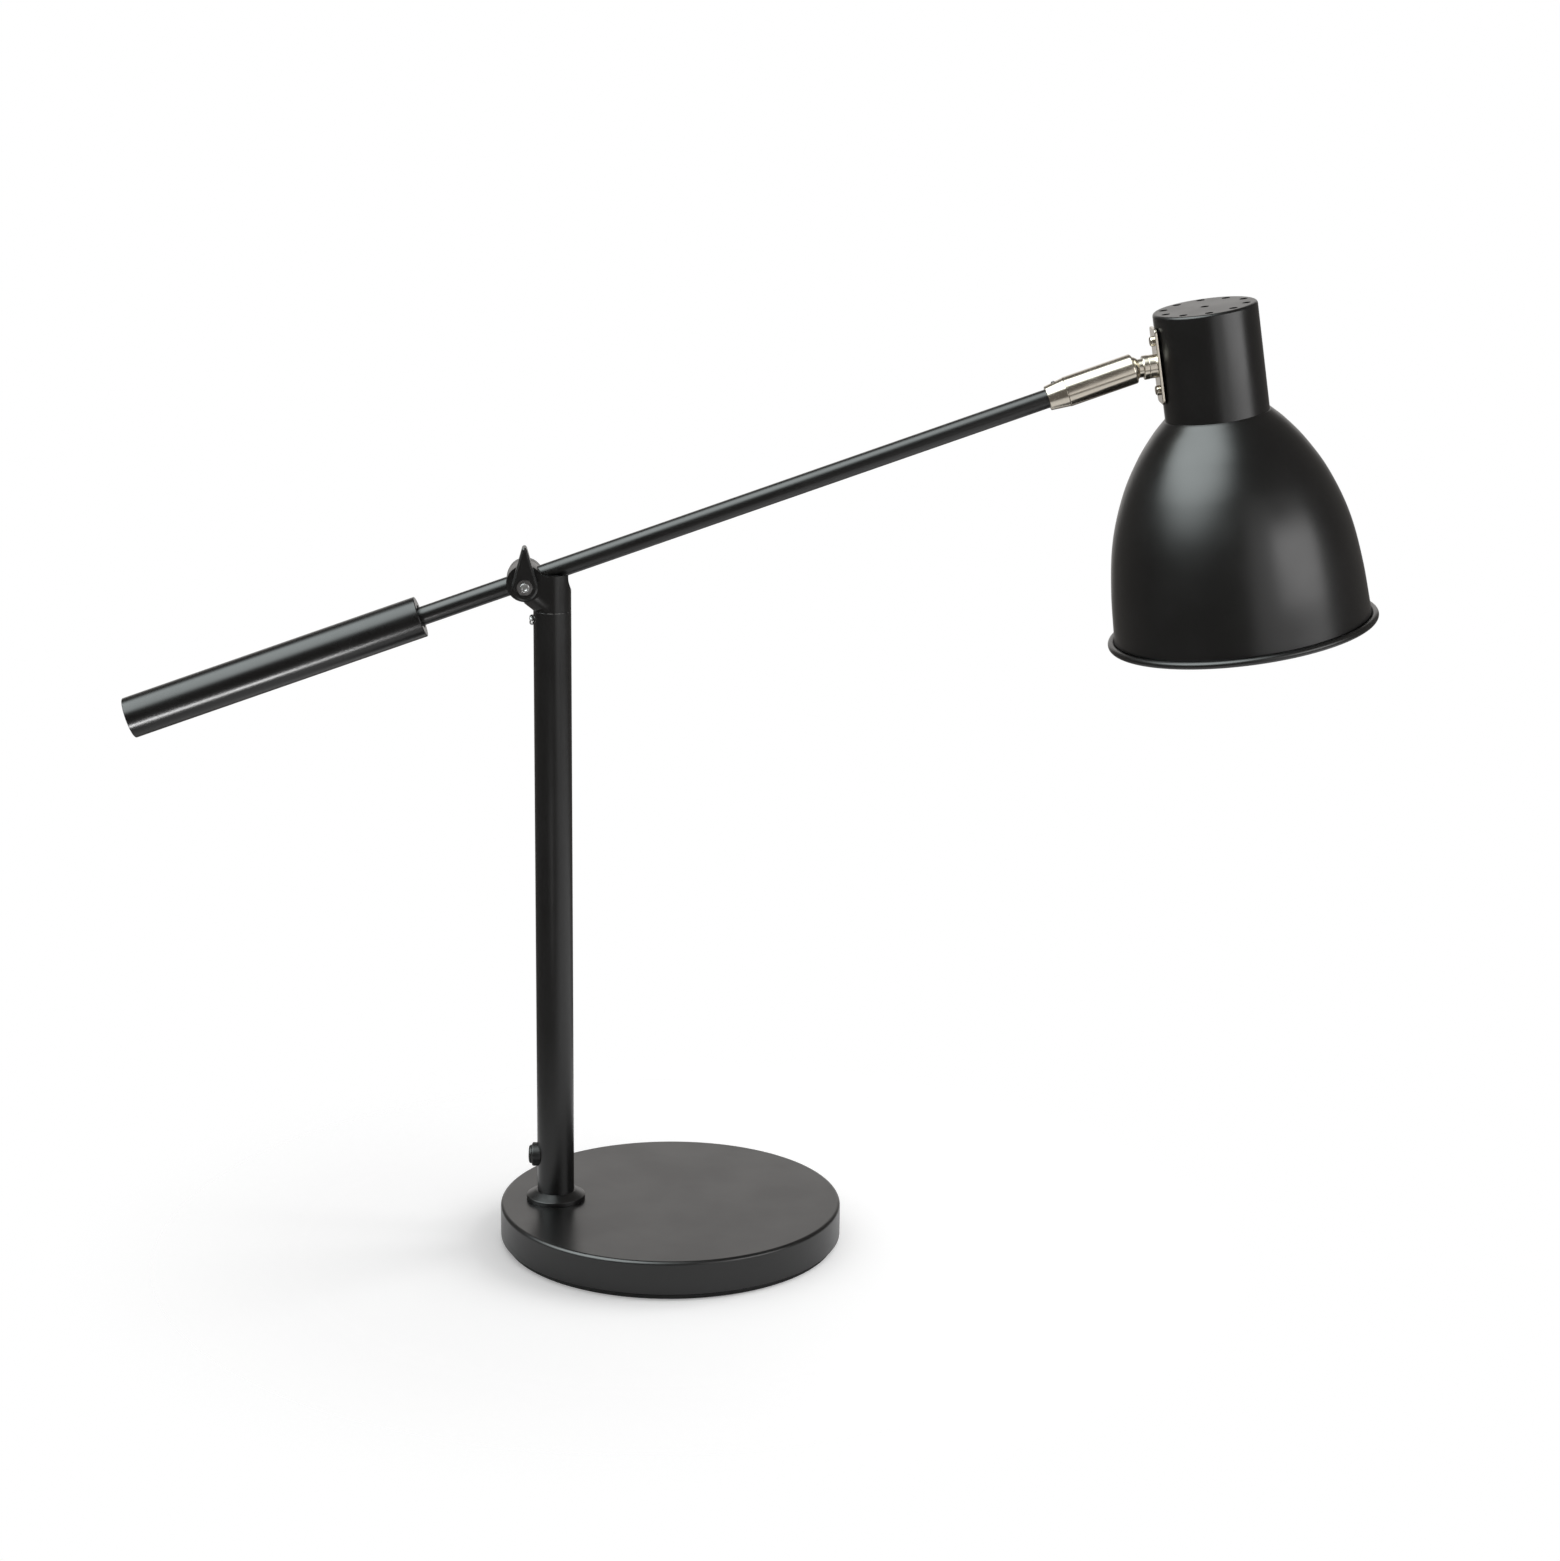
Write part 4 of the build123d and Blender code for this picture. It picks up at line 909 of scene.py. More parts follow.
    def lever(self) -> None:
        """Teardrop lever with bevelled edges and a hexagonal recess for its nut."""
        body = prism(self.teardrop(), self.cheek + self.spacer, self.lever_face)
        front = max(body.faces, key=lambda face: face.calc_center_median().z)
        bmesh.ops.bevel(body, geom=list(front.edges), offset=self.lever_bevel, offset_type="OFFSET",
                        segments=1, profile=0.5, affect="EDGES", material=-1, clamp_overlap=True)
        front = max(body.faces, key=lambda face: face.calc_center_median().z)
        loop = list(front.edges)
        bmesh.ops.delete(body, geom=[front], context="FACES_ONLY")
        flats = self.nut_flats / 2 + self.recess_gap
        recess = bmesh.ops.create_circle(body, segments=6, radius=flats / math.cos(math.pi / 6),
                                         matrix=shift(0, 0, self.lever_face) @ turn(self.hexagon_turn, "Z"))
        hexagon = list({edge for vertex in recess["verts"] for edge in vertex.link_edges})
        bmesh.ops.triangle_fill(body, use_beauty=True, use_dissolve=False, edges=loop + hexagon)
        walls = bmesh.ops.extrude_edge_only(body, edges=hexagon)
        deep = [item for item in walls["geom"] if isinstance(item, bmesh.types.BMVert)]
        bmesh.ops.translate(body, verts=deep, vec=(0, 0, -self.nut_height - self.nut_sunk))
        floor = [item for item in walls["geom"] if isinstance(item, bmesh.types.BMEdge) and item.is_boundary]
        bmesh.ops.edgeloop_fill(body, edges=floor)
        bmesh.ops.recalc_face_normals(body, faces=body.faces)
        soften(body, self.lever_line_width, self.edge_steps, self.lever_line_angle)
        # The lever's fine edge lines take the lighter grey as painted highlight lines along the bevels.
        self.bench.piece(body, "clamp_lever_teardrop", self.front, "clamp_lever", SATIN_BLACK,
                         ["clamp_lever"], "head_black", second=WORN_EDGE_AND_GLINT, inner=self.lever_line,
                         sharp=self.lever_sharp)

    def lever_line(self, face: bmesh.types.BMFace) -> bool:
        """Tell whether a face is on the lever's fine edge lines, short of its tip, where a highlight is
        painted.
        """
        least, greatest = self.lever_line_lean
        return (is_strip(face, self.lever_line_width - self.lever_line_slack)
                and least < abs(face.normal.z) < greatest
                and face.calc_center_median().y < self.tip_at - self.lever_line_clear)

    def nut(self) -> None:
        """Hexagonal nut with bevelled corners, sunk in the lever."""
        face = self.lever_face - self.nut_sunk
        foot = face - self.nut_height
        drop, share = self.nut_chamfer
        outside = self.nut_corner * self.nut_outside
        over = face + self.nut_over
        under = foot - self.nut_under
        tool = lathe(corners((0, under), (outside, under), (outside, face - drop),
                             (self.nut_corner * share, over), (0, over)), self.turned_steps)
        nut = self.common(prism(disc_outline(self.nut_corner, 6, self.hexagon_turn), foot, face), tool)
        mouth, rim = self.thread_mouth
        sink, depth = self.thread_depth
        proud = face + self.thread_proud
        ring = lathe(corners((self.thread_radius, face - depth), (self.thread_radius, face - sink),
                             (mouth, proud), (rim, proud), (rim, face - depth)), self.thread_steps)
        self.bench.piece(join_meshes([nut, ring]), "lever_nut_hexagon", self.front, "clamp_lever",
                         SPRING_STEEL, ["lever_nut"], "zinc", sharp=self.nut_sharp)

    @staticmethod
    def common(first: bmesh.types.BMesh, second: bmesh.types.BMesh) -> bmesh.types.BMesh:
        """Keep what two closed meshes share.

        Args:
            first: the mesh that is cut.
            second: the mesh that cuts it.

        Returns:
            A new mesh.
        """
        objects = []
        for mesh in (first, second):
            data = bpy.data.meshes.new("common")
            mesh.to_mesh(data)
            mesh.free()
            objects.append(bpy.data.objects.new("common", data))
            bpy.context.scene.collection.objects.link(objects[-1])
        cut = objects[0].modifiers.new("share", "BOOLEAN")
        cut.operation = "INTERSECT"
        cut.solver = "EXACT"
        cut.object = objects[1]
        bpy.context.view_layer.update()
        shape = objects[0].evaluated_get(bpy.context.evaluated_depsgraph_get())
        result = bmesh.new()
        result.from_mesh(shape.to_mesh())
        shape.to_mesh_clear()
        for item in objects:
            data = item.data
            bpy.data.objects.remove(item)
            bpy.data.meshes.remove(data)
        return result

    def build(self) -> None:
        """Build the head and dress what it holds."""
        self.fork()
        self.bolt()
        self.spacers()
        self.lever()
        self.nut()
        self.bench.dress("friction_washers", FIBRE)


# ---------------------------------------------------------------- arm
@dataclass
class Arm:
    """Arm tube with its hub, counterweight and the tapered collar at its end.

    Places along the arm are measured from the hinge, and the counterweight's backwards from it.
    """

    places: Places
    bench: Bench
    radius: float = 5.0
    wall: float = 1.0
    rear: float = -90.0
    reach: float = 298.0
    tube_steps: int = 64
    long_edge: float = 100.0             # longer edges of the tube are cut
    long_cuts: int = 12
    hub_bore: float = 2.6
    hub_radius: float = 9.8
    hub_half: float = 6.8                # half the hub's width
    hub_round: float = 0.25
    hub_steps: int = 72
    weight_near: float = 58.0
    weight_far: float = 221.0
    weight_radius: float = 11.0
    weight_round: float = 0.5
    weight_socket: float = 32.0
    weight_steps: int = 96
    mouth_radius: float = 6.3
    mouth_depth: float = 1.2
    mouth_round: float = 0.2
    cone_start: float = 289.5
    cone_length: float = 10.4
    cone_radii: Point = (6.5, 7.8)       # at the near and the far end
    cone_rounds: Point = (0.45, 0.25)
    cone_steps: int = 80
    journal_radius: float = 6.0
    journal_bore: float = 3.0
    journal_length: float = 8.0
    journal_round: float = 0.3
    set_height: float = 7.1              # set screw's seat above the arm's axis
    set_radius: float = 0.95
    set_length: float = 2.0
    set_top: float = 0.62
    set_round: float = 0.2
    set_socket: Point = (0.5, 0.45)      # radii of its socket at the top and at the floor
    set_floor: float = 0.1
    set_steps: int = 32

    def tube(self) -> None:
        """Straight tube from the counterweight to the collar."""
        inner = self.radius - self.wall
        mesh = lathe(corners((inner, self.rear), (self.radius, self.rear), (self.radius, self.reach),
                             (inner, self.reach)), self.tube_steps)
        long = [edge for edge in mesh.edges if edge.calc_length() > self.long_edge]
        bmesh.ops.subdivide_edges(mesh, edges=long, cuts=self.long_cuts)
        self.bench.piece(placed(mesh, ALONG_X), "arm_tube_coated", self.places.arm, "arm", SATIN_BLACK,
                         ["arm_tube"], "post_black")

    def hub(self) -> None:
        """Hub that holds the arm between the cheeks."""
        half = self.hub_half
        mesh = lathe(corners((self.hub_bore, -half), (self.hub_radius, -half, self.hub_round),
                             (self.hub_radius, half, self.hub_round), (self.hub_bore, half)), self.hub_steps)
        self.bench.piece(placed(mesh, ALONG_Y), "arm_hub_turned", self.places.arm, "arm", SATIN_BLACK,
                         ["arm_hub"], "head_black")

    def weight(self) -> None:
        """Solid bar with a relieved mouth round the arm."""
        near = -self.weight_near
        mouth = near - self.mouth_depth
        socket = near - self.weight_socket
        profile = corners((0, -self.weight_far), (self.weight_radius, -self.weight_far, self.weight_round),
                          (self.weight_radius, near, self.weight_round),
                          (self.mouth_radius, near, self.mouth_round), (self.mouth_radius, mouth),
                          (self.radius, mouth), (self.radius, socket), (0, socket))
        mesh = placed(lathe(profile, self.weight_steps), ALONG_X)
        self.bench.piece(mesh, "counterweight_bar", self.places.arm, "arm", WEIGHT_BLACK, ["counterweight"],
                         "weight_black")

    def cone(self) -> None:
        """Tapered collar with its journal."""
        end = self.cone_start + self.cone_length
        tip = end + self.journal_length
        near, far = self.cone_radii
        near_round, far_round = self.cone_rounds
        profile = corners((self.radius, self.cone_start), (near, self.cone_start, near_round),
                          (far, end, far_round), (self.journal_radius, end),
                          (self.journal_radius, tip, self.journal_round), (self.journal_bore, tip),
                          (self.journal_bore, self.reach), (self.radius, self.reach))
        mesh = placed(lathe(profile, self.cone_steps), ALONG_X)
        self.bench.piece(mesh, "swivel_cone_turned", self.places.arm, "arm", NICKEL, ["swivel_cone"],
                         "nickel")

    def set_screw(self) -> None:
        """Set screw with a round socket, on top of the tapered collar."""
        place = self.places.arm @ shift(self.cone_start + self.cone_length / 2, 0, self.set_height)
        brim, floor = self.set_socket
        profile = corners((0, -self.set_length), (self.set_radius, -self.set_length),
                          (self.set_radius, self.set_top, self.set_round), (brim, self.set_top),
                          (floor, self.set_floor), (0, self.set_floor))
        self.bench.piece(lathe(profile, self.set_steps), "cone_screw_socket", place, "arm", SPRING_STEEL,
                         ["cone_screw"], "zinc")

    def build(self) -> None:
        """Build the arm and dress what it holds."""
        self.tube()
        self.hub()
        self.weight()
        self.cone()
        self.set_screw()
        self.bench.dress("counterweight_grub", SPRING_STEEL)
        self.bench.dress("arm_lead", LEAD_SHEATH)


# ---------------------------------------------------------------- swivel and bracket
@dataclass
class Swivel:
    """Housing that turns on the arm's end, the ball stem in it, and the bracket on the shade.

    The housing's places are measured from the hinge, the stem's and the bracket's from the ball's centre.
    """

    places: Places
    bench: Bench
    start: float = 300.0
    end: float = 337.5
    radius: float = 8.0
    start_round: float = 0.25
    end_round: float = 1.2
    journal_bore: float = 6.05
    chamber: float = 7.05
    chamber_start: float = 312.0
    mouth: float = 6.37
    mouth_round: float = 0.15
    throat: Point = (6.9, 1.2)           # radius, and distance ahead of the ball's centre
    housing_steps: int = 80
    ball_radius: float = 7.0
    ball_steps: tuple[int, int] = (56, 28)
    stem_bore: float = 2.0
    stem_start: float = 4.0
    stem_radius: float = 4.9
    stem_round: float = 0.2
    flange_start: float = 7.3
    flange_end: float = 10.2
    flange_radius: float = 6.35
    flange_rounds: Point = (0.4, 0.2)    # towards the ball and towards the plate
    boss_bore: float = 3.0
    boss_radius: float = 6.2
    boss_round: float = 0.3
    stem_steps: int = 64
    bracket_face: float = 14.4
    plate_thickness: float = 1.5
    plate_length: float = 40.0
    plate_width: float = 15.5
    plate_corner: float = 2.5
    plate_corner_steps: int = 8
    plate_edge: float = 0.3
    plate_edge_steps: int = 3
    plate_edge_angle: float = 60.0
    plate_sharp: float = 30.0
    screw_half: float = 13.0             # half the distance between the screws
    slot_angles: Point = (62.0, -28.0)
    screw_shape: SlottedScrew = SlottedScrew(head=2.7, height=2.0, shank=1.5, length=6.6, slot=0.7, deep=0.6)

    def housing(self) -> None:
        """Bored housing with a rounded end that closes on the ball."""
        ball = self.places.ball_at
        throat, ahead = self.throat
        profile = corners((self.journal_bore, self.start), (self.radius, self.start, self.start_round),
                          (self.radius, self.end, self.end_round), (self.mouth, self.end, self.mouth_round),
                          (throat, ball + ahead), (self.chamber, ball), (self.chamber, self.chamber_start),
                          (self.journal_bore, self.chamber_start))
        mesh = placed(lathe(profile, self.housing_steps, arc=5), ALONG_X)
        self.bench.piece(mesh, "swivel_housing_turned", self.places.swivel, "swivel", NICKEL,
                         ["swivel_housing"], "nickel")

    def stem(self) -> None:
        """Ball, neck and flange turned in one piece."""
        ball = bmesh.new()
        around, along = self.ball_steps
        bmesh.ops.create_uvsphere(ball, u_segments=around, v_segments=along, radius=self.ball_radius)
        near_round, far_round = self.flange_rounds
        profile = corners((self.stem_bore, self.stem_start), (self.stem_radius, self.stem_start),
                          (self.stem_radius, self.flange_start, self.stem_round),
                          (self.flange_radius, self.flange_start, near_round),
                          (self.flange_radius, self.flange_end, far_round), (self.stem_bore, self.flange_end))
        mesh = placed(join_meshes([ball, lathe(profile, self.stem_steps)]), ALONG_X)
        self.bench.piece(mesh, "ball_stem_turned", self.places.stem, "shade", NICKEL, ["ball_stem"], "nickel")

    def plate(self) -> bmesh.types.BMesh:
        """Make the flat plate with rounded corners and broken edges."""
        mesh = bmesh.new()
        bmesh.ops.create_grid(mesh, x_segments=1, y_segments=1, size=0.5)
        bmesh.ops.scale(mesh, vec=(self.plate_length, self.plate_width, 1), verts=mesh.verts)
        bmesh.ops.bevel(mesh, geom=mesh.verts[:], offset=self.plate_corner, offset_type="OFFSET",
                        segments=self.plate_corner_steps, profile=0.5, affect="VERTICES", material=-1,
                        clamp_overlap=True)
        raised = bmesh.ops.extrude_face_region(mesh, geom=mesh.faces[:])
        tops = [item for item in raised["geom"] if isinstance(item, bmesh.types.BMVert)]
        bmesh.ops.translate(mesh, verts=tops, vec=(0, 0, self.plate_thickness))
        bmesh.ops.recalc_face_normals(mesh, faces=mesh.faces)
        soften(mesh, self.plate_edge, self.plate_edge_steps, self.plate_edge_angle)
        return placed(mesh, shift(0, 0, self.bracket_face))

    def bracket(self) -> None:
        """Plate with the boss that takes the stem."""
        boss = lathe(corners((self.boss_bore, self.flange_end),
                             (self.boss_radius, self.flange_end, self.boss_round),
                             (self.boss_radius, self.bracket_face), (self.boss_bore, self.bracket_face)),
                     self.stem_steps)
        mesh = placed(join_meshes([self.plate(), boss]), ALONG_X)
        self.bench.piece(mesh, "bracket_plate_pressed", self.places.stem, "shade", NICKEL, ["bracket_plate"],
                         "nickel", sharp=self.plate_sharp)

    def screws(self) -> None:
        """Two slotted pan-head screws, each slot at its own angle."""
        heads = []
        for height, angle in zip((self.screw_half, -self.screw_half), self.slot_angles):
            place = shift(self.bracket_face, 0, height) @ turn(-90, "Y") @ turn(angle, "Z")
            heads.append(placed(self.screw_shape.mesh(), place))
        self.bench.piece(join_meshes(heads), "bracket_screws_slotted", self.places.stem, "shade", NICKEL,
                         ["bracket_screws"], "nickel")

    def build(self) -> None:
        """Build the swivel and dress what it holds."""
        self.housing()
        self.stem()
        self.bracket()
        self.screws()
        for node, finish in (("ball_seat", BLACK_PLASTIC), ("disc_springs", SPRING_STEEL),
                             ("swivel_ring", SPRING_STEEL), ("bracket_nuts", ZINC)):
            self.bench.dress(node, finish)


# ---------------------------------------------------------------- shade
@dataclass
class Shade:
    """Spun shade with a vented top, a straight neck, a bell and a rolled rim."""

    places: Places
    bench: Bench
    neck: float = 27.5
    wall: float = 1.0
    top_round: float = 1.6
    top_inner_round: float = 0.8
    top_ring: float = 0.4                # flat ring between the top's round and its discs
    neck_step: float = 8.0               # height of the rings that the neck is turned from
    neck_rings: int = 6
    neck_foot_round: float = 0.5
    neck_inner_round: float = 0.4
    height: float = 176.1
    rim: float = 72.3
    bead: float = 2.0
    bead_steps: int = 40
    bead_start: Point = (-1.7, 1.05)     # where the bead leaves the wall, from its centre
    groove: tuple[Point, ...] = ((0.0, 1.55), (-0.35, 0.95))   # from the wall's foot and the bead's centre
    steps: int = 180
    sharp: float = 50.0
    white_gap: float = 0.5               # the white stops this far inside the wall's foot
    vents: int = 10
    vent_radius: float = 2.25
    vent_ring: float = 22.1
    vent_phase: float = 13.0
    vent_steps: int = 24
    span_steps: int = 8                  # steps of the bell's line between two stations
    stations: tuple[Point, ...] = (      # shares of the height and of the rim's radius
        (0.325, 0.390), (0.363, 0.481), (0.432, 0.611), (0.534, 0.751), (0.670, 0.867), (0.818, 0.924),
        (0.977, 0.949))

    @property
    def bead_centre(self) -> Point:
        """Radius and height of the centre of the rolled rim."""
        return self.rim - self.bead, self.bead - self.height

    def bell(self, offset: float) -> list[Point]:
        """Smooth line of the bell.

        Args:
            offset: distance inwards from the outer face.

        Returns:
            (radius, height) points from the neck down.
        """
        marks = [Vector((share * self.rim, -depth * self.height)) for depth, share in self.stations]
        slopes = [marks[min(i + 1, len(marks) - 1)] - marks[max(i - 1, 0)] for i in range(len(marks))]
        line: list[Vector] = []
        for i, (here, there) in enumerate(zip(marks, marks[1:])):
            third = (there - here).length / 3
            first = here + slopes[i].normalized() * third
            second = there - slopes[i + 1].normalized() * third
            line += interpolate_bezier(here, first, second, there, self.span_steps + 1)[:-1]
        line.append(marks[-1])
        moved = []
        for i, mark in enumerate(line):
            run = (line[min(i + 1, len(line) - 1)] - line[max(i - 1, 0)]).normalized()
            moved.append((mark.x + offset * run.y, mark.y - offset * run.x))
        return moved

    def bead_line(self) -> list[Point]:
        """Points round the rolled rim, from the wall over its top, outside and foot."""
        middle, low = self.bead_centre
        mesh = bmesh.new()
        bmesh.ops.create_circle(mesh, segments=self.bead_steps, radius=self.bead,
                                matrix=shift(middle, 0, low) @ turn(90, "X")
                                @ turn(180 / self.bead_steps, "Z"))
        around = [(math.atan2(vertex.co.z - low, vertex.co.x - middle), (vertex.co.x, vertex.co.z))
                  for vertex in mesh.verts]
        mesh.free()
        across, above = self.bead_start
        start = math.atan2(above, across)
        return [point for angle, point in sorted(around, reverse=True) if angle < start]

    def profile(self) -> list[Corner]:
        """Line of the shell from the outer face of its top, round the rim, to the inner face."""
        outer = self.bell(0.0)
        inner = self.bell(self.wall)
        ring = self.neck - self.top_round - self.top_ring
        inside = self.neck - self.wall
        line = [Corner(ring, 0.0), Corner(self.neck, 0.0, self.top_round)]
        line += [Corner(self.neck, -self.neck_step * step) for step in range(1, self.neck_rings + 1)]
        line += [Corner(self.neck, outer[0][1], self.neck_foot_round)]
        line += [Corner(*point) for point in outer]
        line += [Corner(outer[-1][0] + across, self.bead_centre[1] + above) for across, above in self.groove]
        line += [Corner(*point) for point in self.bead_line()]
        line += [Corner(*point) for point in reversed(inner)]
        line += [Corner(inside, inner[0][1], self.neck_inner_round),
                 Corner(inside, -self.wall, self.top_inner_round), Corner(ring, -self.wall)]
        return line

    def is_white(self, face: bmesh.types.BMFace) -> bool:
        """Tell whether a face is on the inside of the bell. The neck's inside keeps the black coat as painted
        shade, so that the vents look dark.
        """
        spot = face.calc_center_median()
        out = math.hypot(spot.x, spot.y)
        if out < self.neck - self.wall / 2:
            return False
        radial = (face.normal.x * spot.x + face.normal.y * spot.y) / out
        return radial < 0 and out < self.stations[-1][1] * self.rim - self.white_gap

    def shell(self) -> None:
        """Shell with vent holes, turned in one piece with its rolled rim."""
        mesh = lathe(self.profile(), self.steps, closed=False, arc=6)
        self.pierce(mesh)
        self.bench.piece(mesh, "shade_shell", self.places.lamp, "shade", SATIN_BLACK, ["shade"],
                         "shade_black", second=WHITE_ENAMEL, inner=self.is_white, sharp=self.sharp)

    def pierce(self, mesh: bmesh.types.BMesh) -> None:
        """Close the top with two discs that have the vent holes, and join the holes' edges."""
        spots = [Matrix()] + [turn(self.vent_phase + i * 360 / self.vents, "Z") @ shift(self.vent_ring)
                              for i in range(self.vents)]
        rims = [edge for edge in mesh.edges if edge.is_boundary]
        pairs: list[list[bmesh.types.BMEdge]] = [[] for _ in spots]
        for height in (0.0, -self.wall):
            loop = [edge for edge in rims if abs(edge.verts[0].co.z - height) < 10 * TINY]
            holes = []
            for spot, pair in zip(spots, pairs):
                ring = bmesh.ops.create_circle(mesh, segments=self.vent_steps, radius=self.vent_radius,
                                               matrix=shift(0, 0, height) @ spot)
                edges = list({edge for vertex in ring["verts"] for edge in vertex.link_edges})
                pair += edges
                holes += edges
            bmesh.ops.triangle_fill(mesh, use_beauty=True, use_dissolve=False, edges=loop + holes)
        for pair in pairs:
            bmesh.ops.bridge_loops(mesh, edges=pair)
        bmesh.ops.recalc_face_normals(mesh, faces=mesh.faces)

    def build(self) -> None:
        """Build the shade."""
        self.shell()


# ---------------------------------------------------------------- lamp holder
@dataclass
class LampHolder:
    """Holder and bulb inside the shade, with heights measured from the shade's top."""

    places: Places
    bench: Bench
    top: float = -9.5
    steps: int = 72
    cap_bore: float = 5.0
    cap_bore_round: float = 0.3
    cap_radius: float = 18.0
    cap_inside: float = 16.0
    cap_roof: float = 4.0
    cap_height: float = 20.0
    cap_top_round: float = 5.0
    cap_foot_round: float = 0.2
    cap_inner_round: float = 1.0
    shell_bore: float = 17.5
    shell_radius: float = 19.5
    shell_length: float = 29.0
    shell_foot_round: float = 0.5
    collar_radius: float = 21.0
    collar_span: Point = (8.7, 13.05)    # from the shell's top down
    collar_fillet: float = 0.5
    edge_round: float = 0.4

    def cap(self) -> None:
        """Closed cap of the holder."""
        top, roof, foot = self.top, self.top - self.cap_roof, self.top - self.cap_height
        profile = corners((self.cap_bore, top, self.cap_bore_round),
                          (self.cap_radius, top, self.cap_top_round),
                          (self.cap_radius, foot, self.cap_foot_round), (self.cap_inside, foot),
                          (self.cap_inside, roof, self.cap_inner_round), (self.cap_bore, roof))
        self.bench.piece(lathe(profile, self.steps), "holder_cap_moulded", self.places.lamp, "shade",
                         BLACK_PLASTIC, ["holder_cap"], "black_plastic")

    def shell(self) -> None:
        """Open shell of the holder, with its raised collar."""
        top = self.top - self.cap_height
        foot = top - self.shell_length
        upper, lower = (top - drop for drop in self.collar_span)
        profile = corners((self.shell_bore, top), (self.shell_radius, top, self.edge_round),
                          (self.shell_radius, upper, self.collar_fillet),
                          (self.collar_radius, upper, self.edge_round),
                          (self.collar_radius, lower, self.edge_round),
                          (self.shell_radius, lower, self.collar_fillet),
                          (self.shell_radius, foot, self.shell_foot_round),
                          (self.shell_bore, foot, self.shell_foot_round))
        self.bench.piece(lathe(profile, self.steps), "holder_shell_moulded", self.places.lamp, "shade",
                         BLACK_PLASTIC, ["holder_shell"], "black_plastic")

    def build(self) -> None:
        """Build the holder and dress the pieces that keep the solid model's shape."""
        self.cap()
        self.shell()
        for node, finish in (("holder_strap", ZINC), ("holder_nipple", ZINC), ("holder_nut", ZINC),
                             ("holder_insulator", CERAMIC), ("screw_shell", BRASS), ("centre_contact", BRASS),
                             ("bulb_cap", ALUMINIUM), ("bulb_glass", OPAL_GLASS)):
            self.bench.dress(node, finish)


# ---------------------------------------------------------------- studio
@dataclass(frozen=True)
class Softbox:
    """A soft patch of light in the reflections.

    The bearing is in degrees from the front towards +X, the rise in degrees above level.
    """

    bearing: float
    rise: float
    core: float                          # degrees from its middle at which it starts to fade
    edge: float                          # degrees at which it ends
    level: float
    tint: Colour

    @property
    def direction(self) -> Vector:
        """Unit vector towards the patch."""
        bearing, rise = math.radians(self.bearing), math.radians(self.rise)
        level = math.cos(rise)
        return Vector((math.sin(bearing) * level, -math.cos(bearing) * level, math.sin(rise)))


@dataclass(frozen=True)
class Fade:
    """Round patch of floor that fades out, in metres."""

    centre: Point
    start: float
    end: float


@dataclass(frozen=True)
class AreaLight:
    """A soft rectangular light, in metres."""

    name: str
    place: tuple[float, float, float]
    aim: tuple[float, float, float]
    size: Point
    level: float                         # how bright its face is, where 1 is white
    mirrored: bool                       # lights only reflections, or everything but reflections
    spread: float = 180.0                # angle of its beam, in degrees

    def hang(self) -> None:
        """Put the light in the scene."""
        data = bpy.data.lights.new(self.name, "AREA")
        data.shape = "RECTANGLE"
        data.size, data.size_y = self.size
        data.energy = self.level * math.pi * data.size * data.size_y
        data.spread = math.radians(self.spread)
        made = bpy.data.objects.new(self.name, data)
        made.location = self.place
        made.rotation_mode = "QUATERNION"
        made.rotation_quaternion = (Vector(self.aim) - Vector(self.place)).to_track_quat("-Z", "Y")
        made.visible_glossy = self.mirrored
        made.visible_diffuse = not self.mirrored
        made.visible_camera = False
        bpy.context.scene.collection.objects.link(made)


@dataclass(frozen=True)
class Viewpoint:
    """Camera at the photograph's place: angles in radians, place in metres, lens in millimetres."""

    sensor: float = 36.0
    lens: float = 78.4388
    yaw: float = 0.0005
    dip: float = 0.2428
    roll: float = 0.0102
    place: tuple[float, float, float] = (0.05683, -1.75827, 0.69431)

    def build(self) -> None:
        """Put the camera in the scene."""
        data = bpy.data.cameras.new("camera")
        data.sensor_width = self.sensor
        data.lens = self.lens
        made = bpy.data.objects.new("camera", data)
        ahead = Vector((math.sin(self.yaw) * math.cos(self.dip), math.cos(self.yaw) * math.cos(self.dip),
                        -math.sin(self.dip)))
        right = Vector((math.cos(self.yaw), -math.sin(self.yaw), 0))
        up = right.cross(ahead)
        side = math.cos(self.roll) * right + math.sin(self.roll) * up
        above = math.cos(self.roll) * up - math.sin(self.roll) * right
        pose = Matrix((side, above, -ahead)).transposed().to_4x4()
        pose.translation = self.place
        made.matrix_world = pose
        bpy.context.scene.collection.objects.link(made)
        bpy.context.scene.camera = made


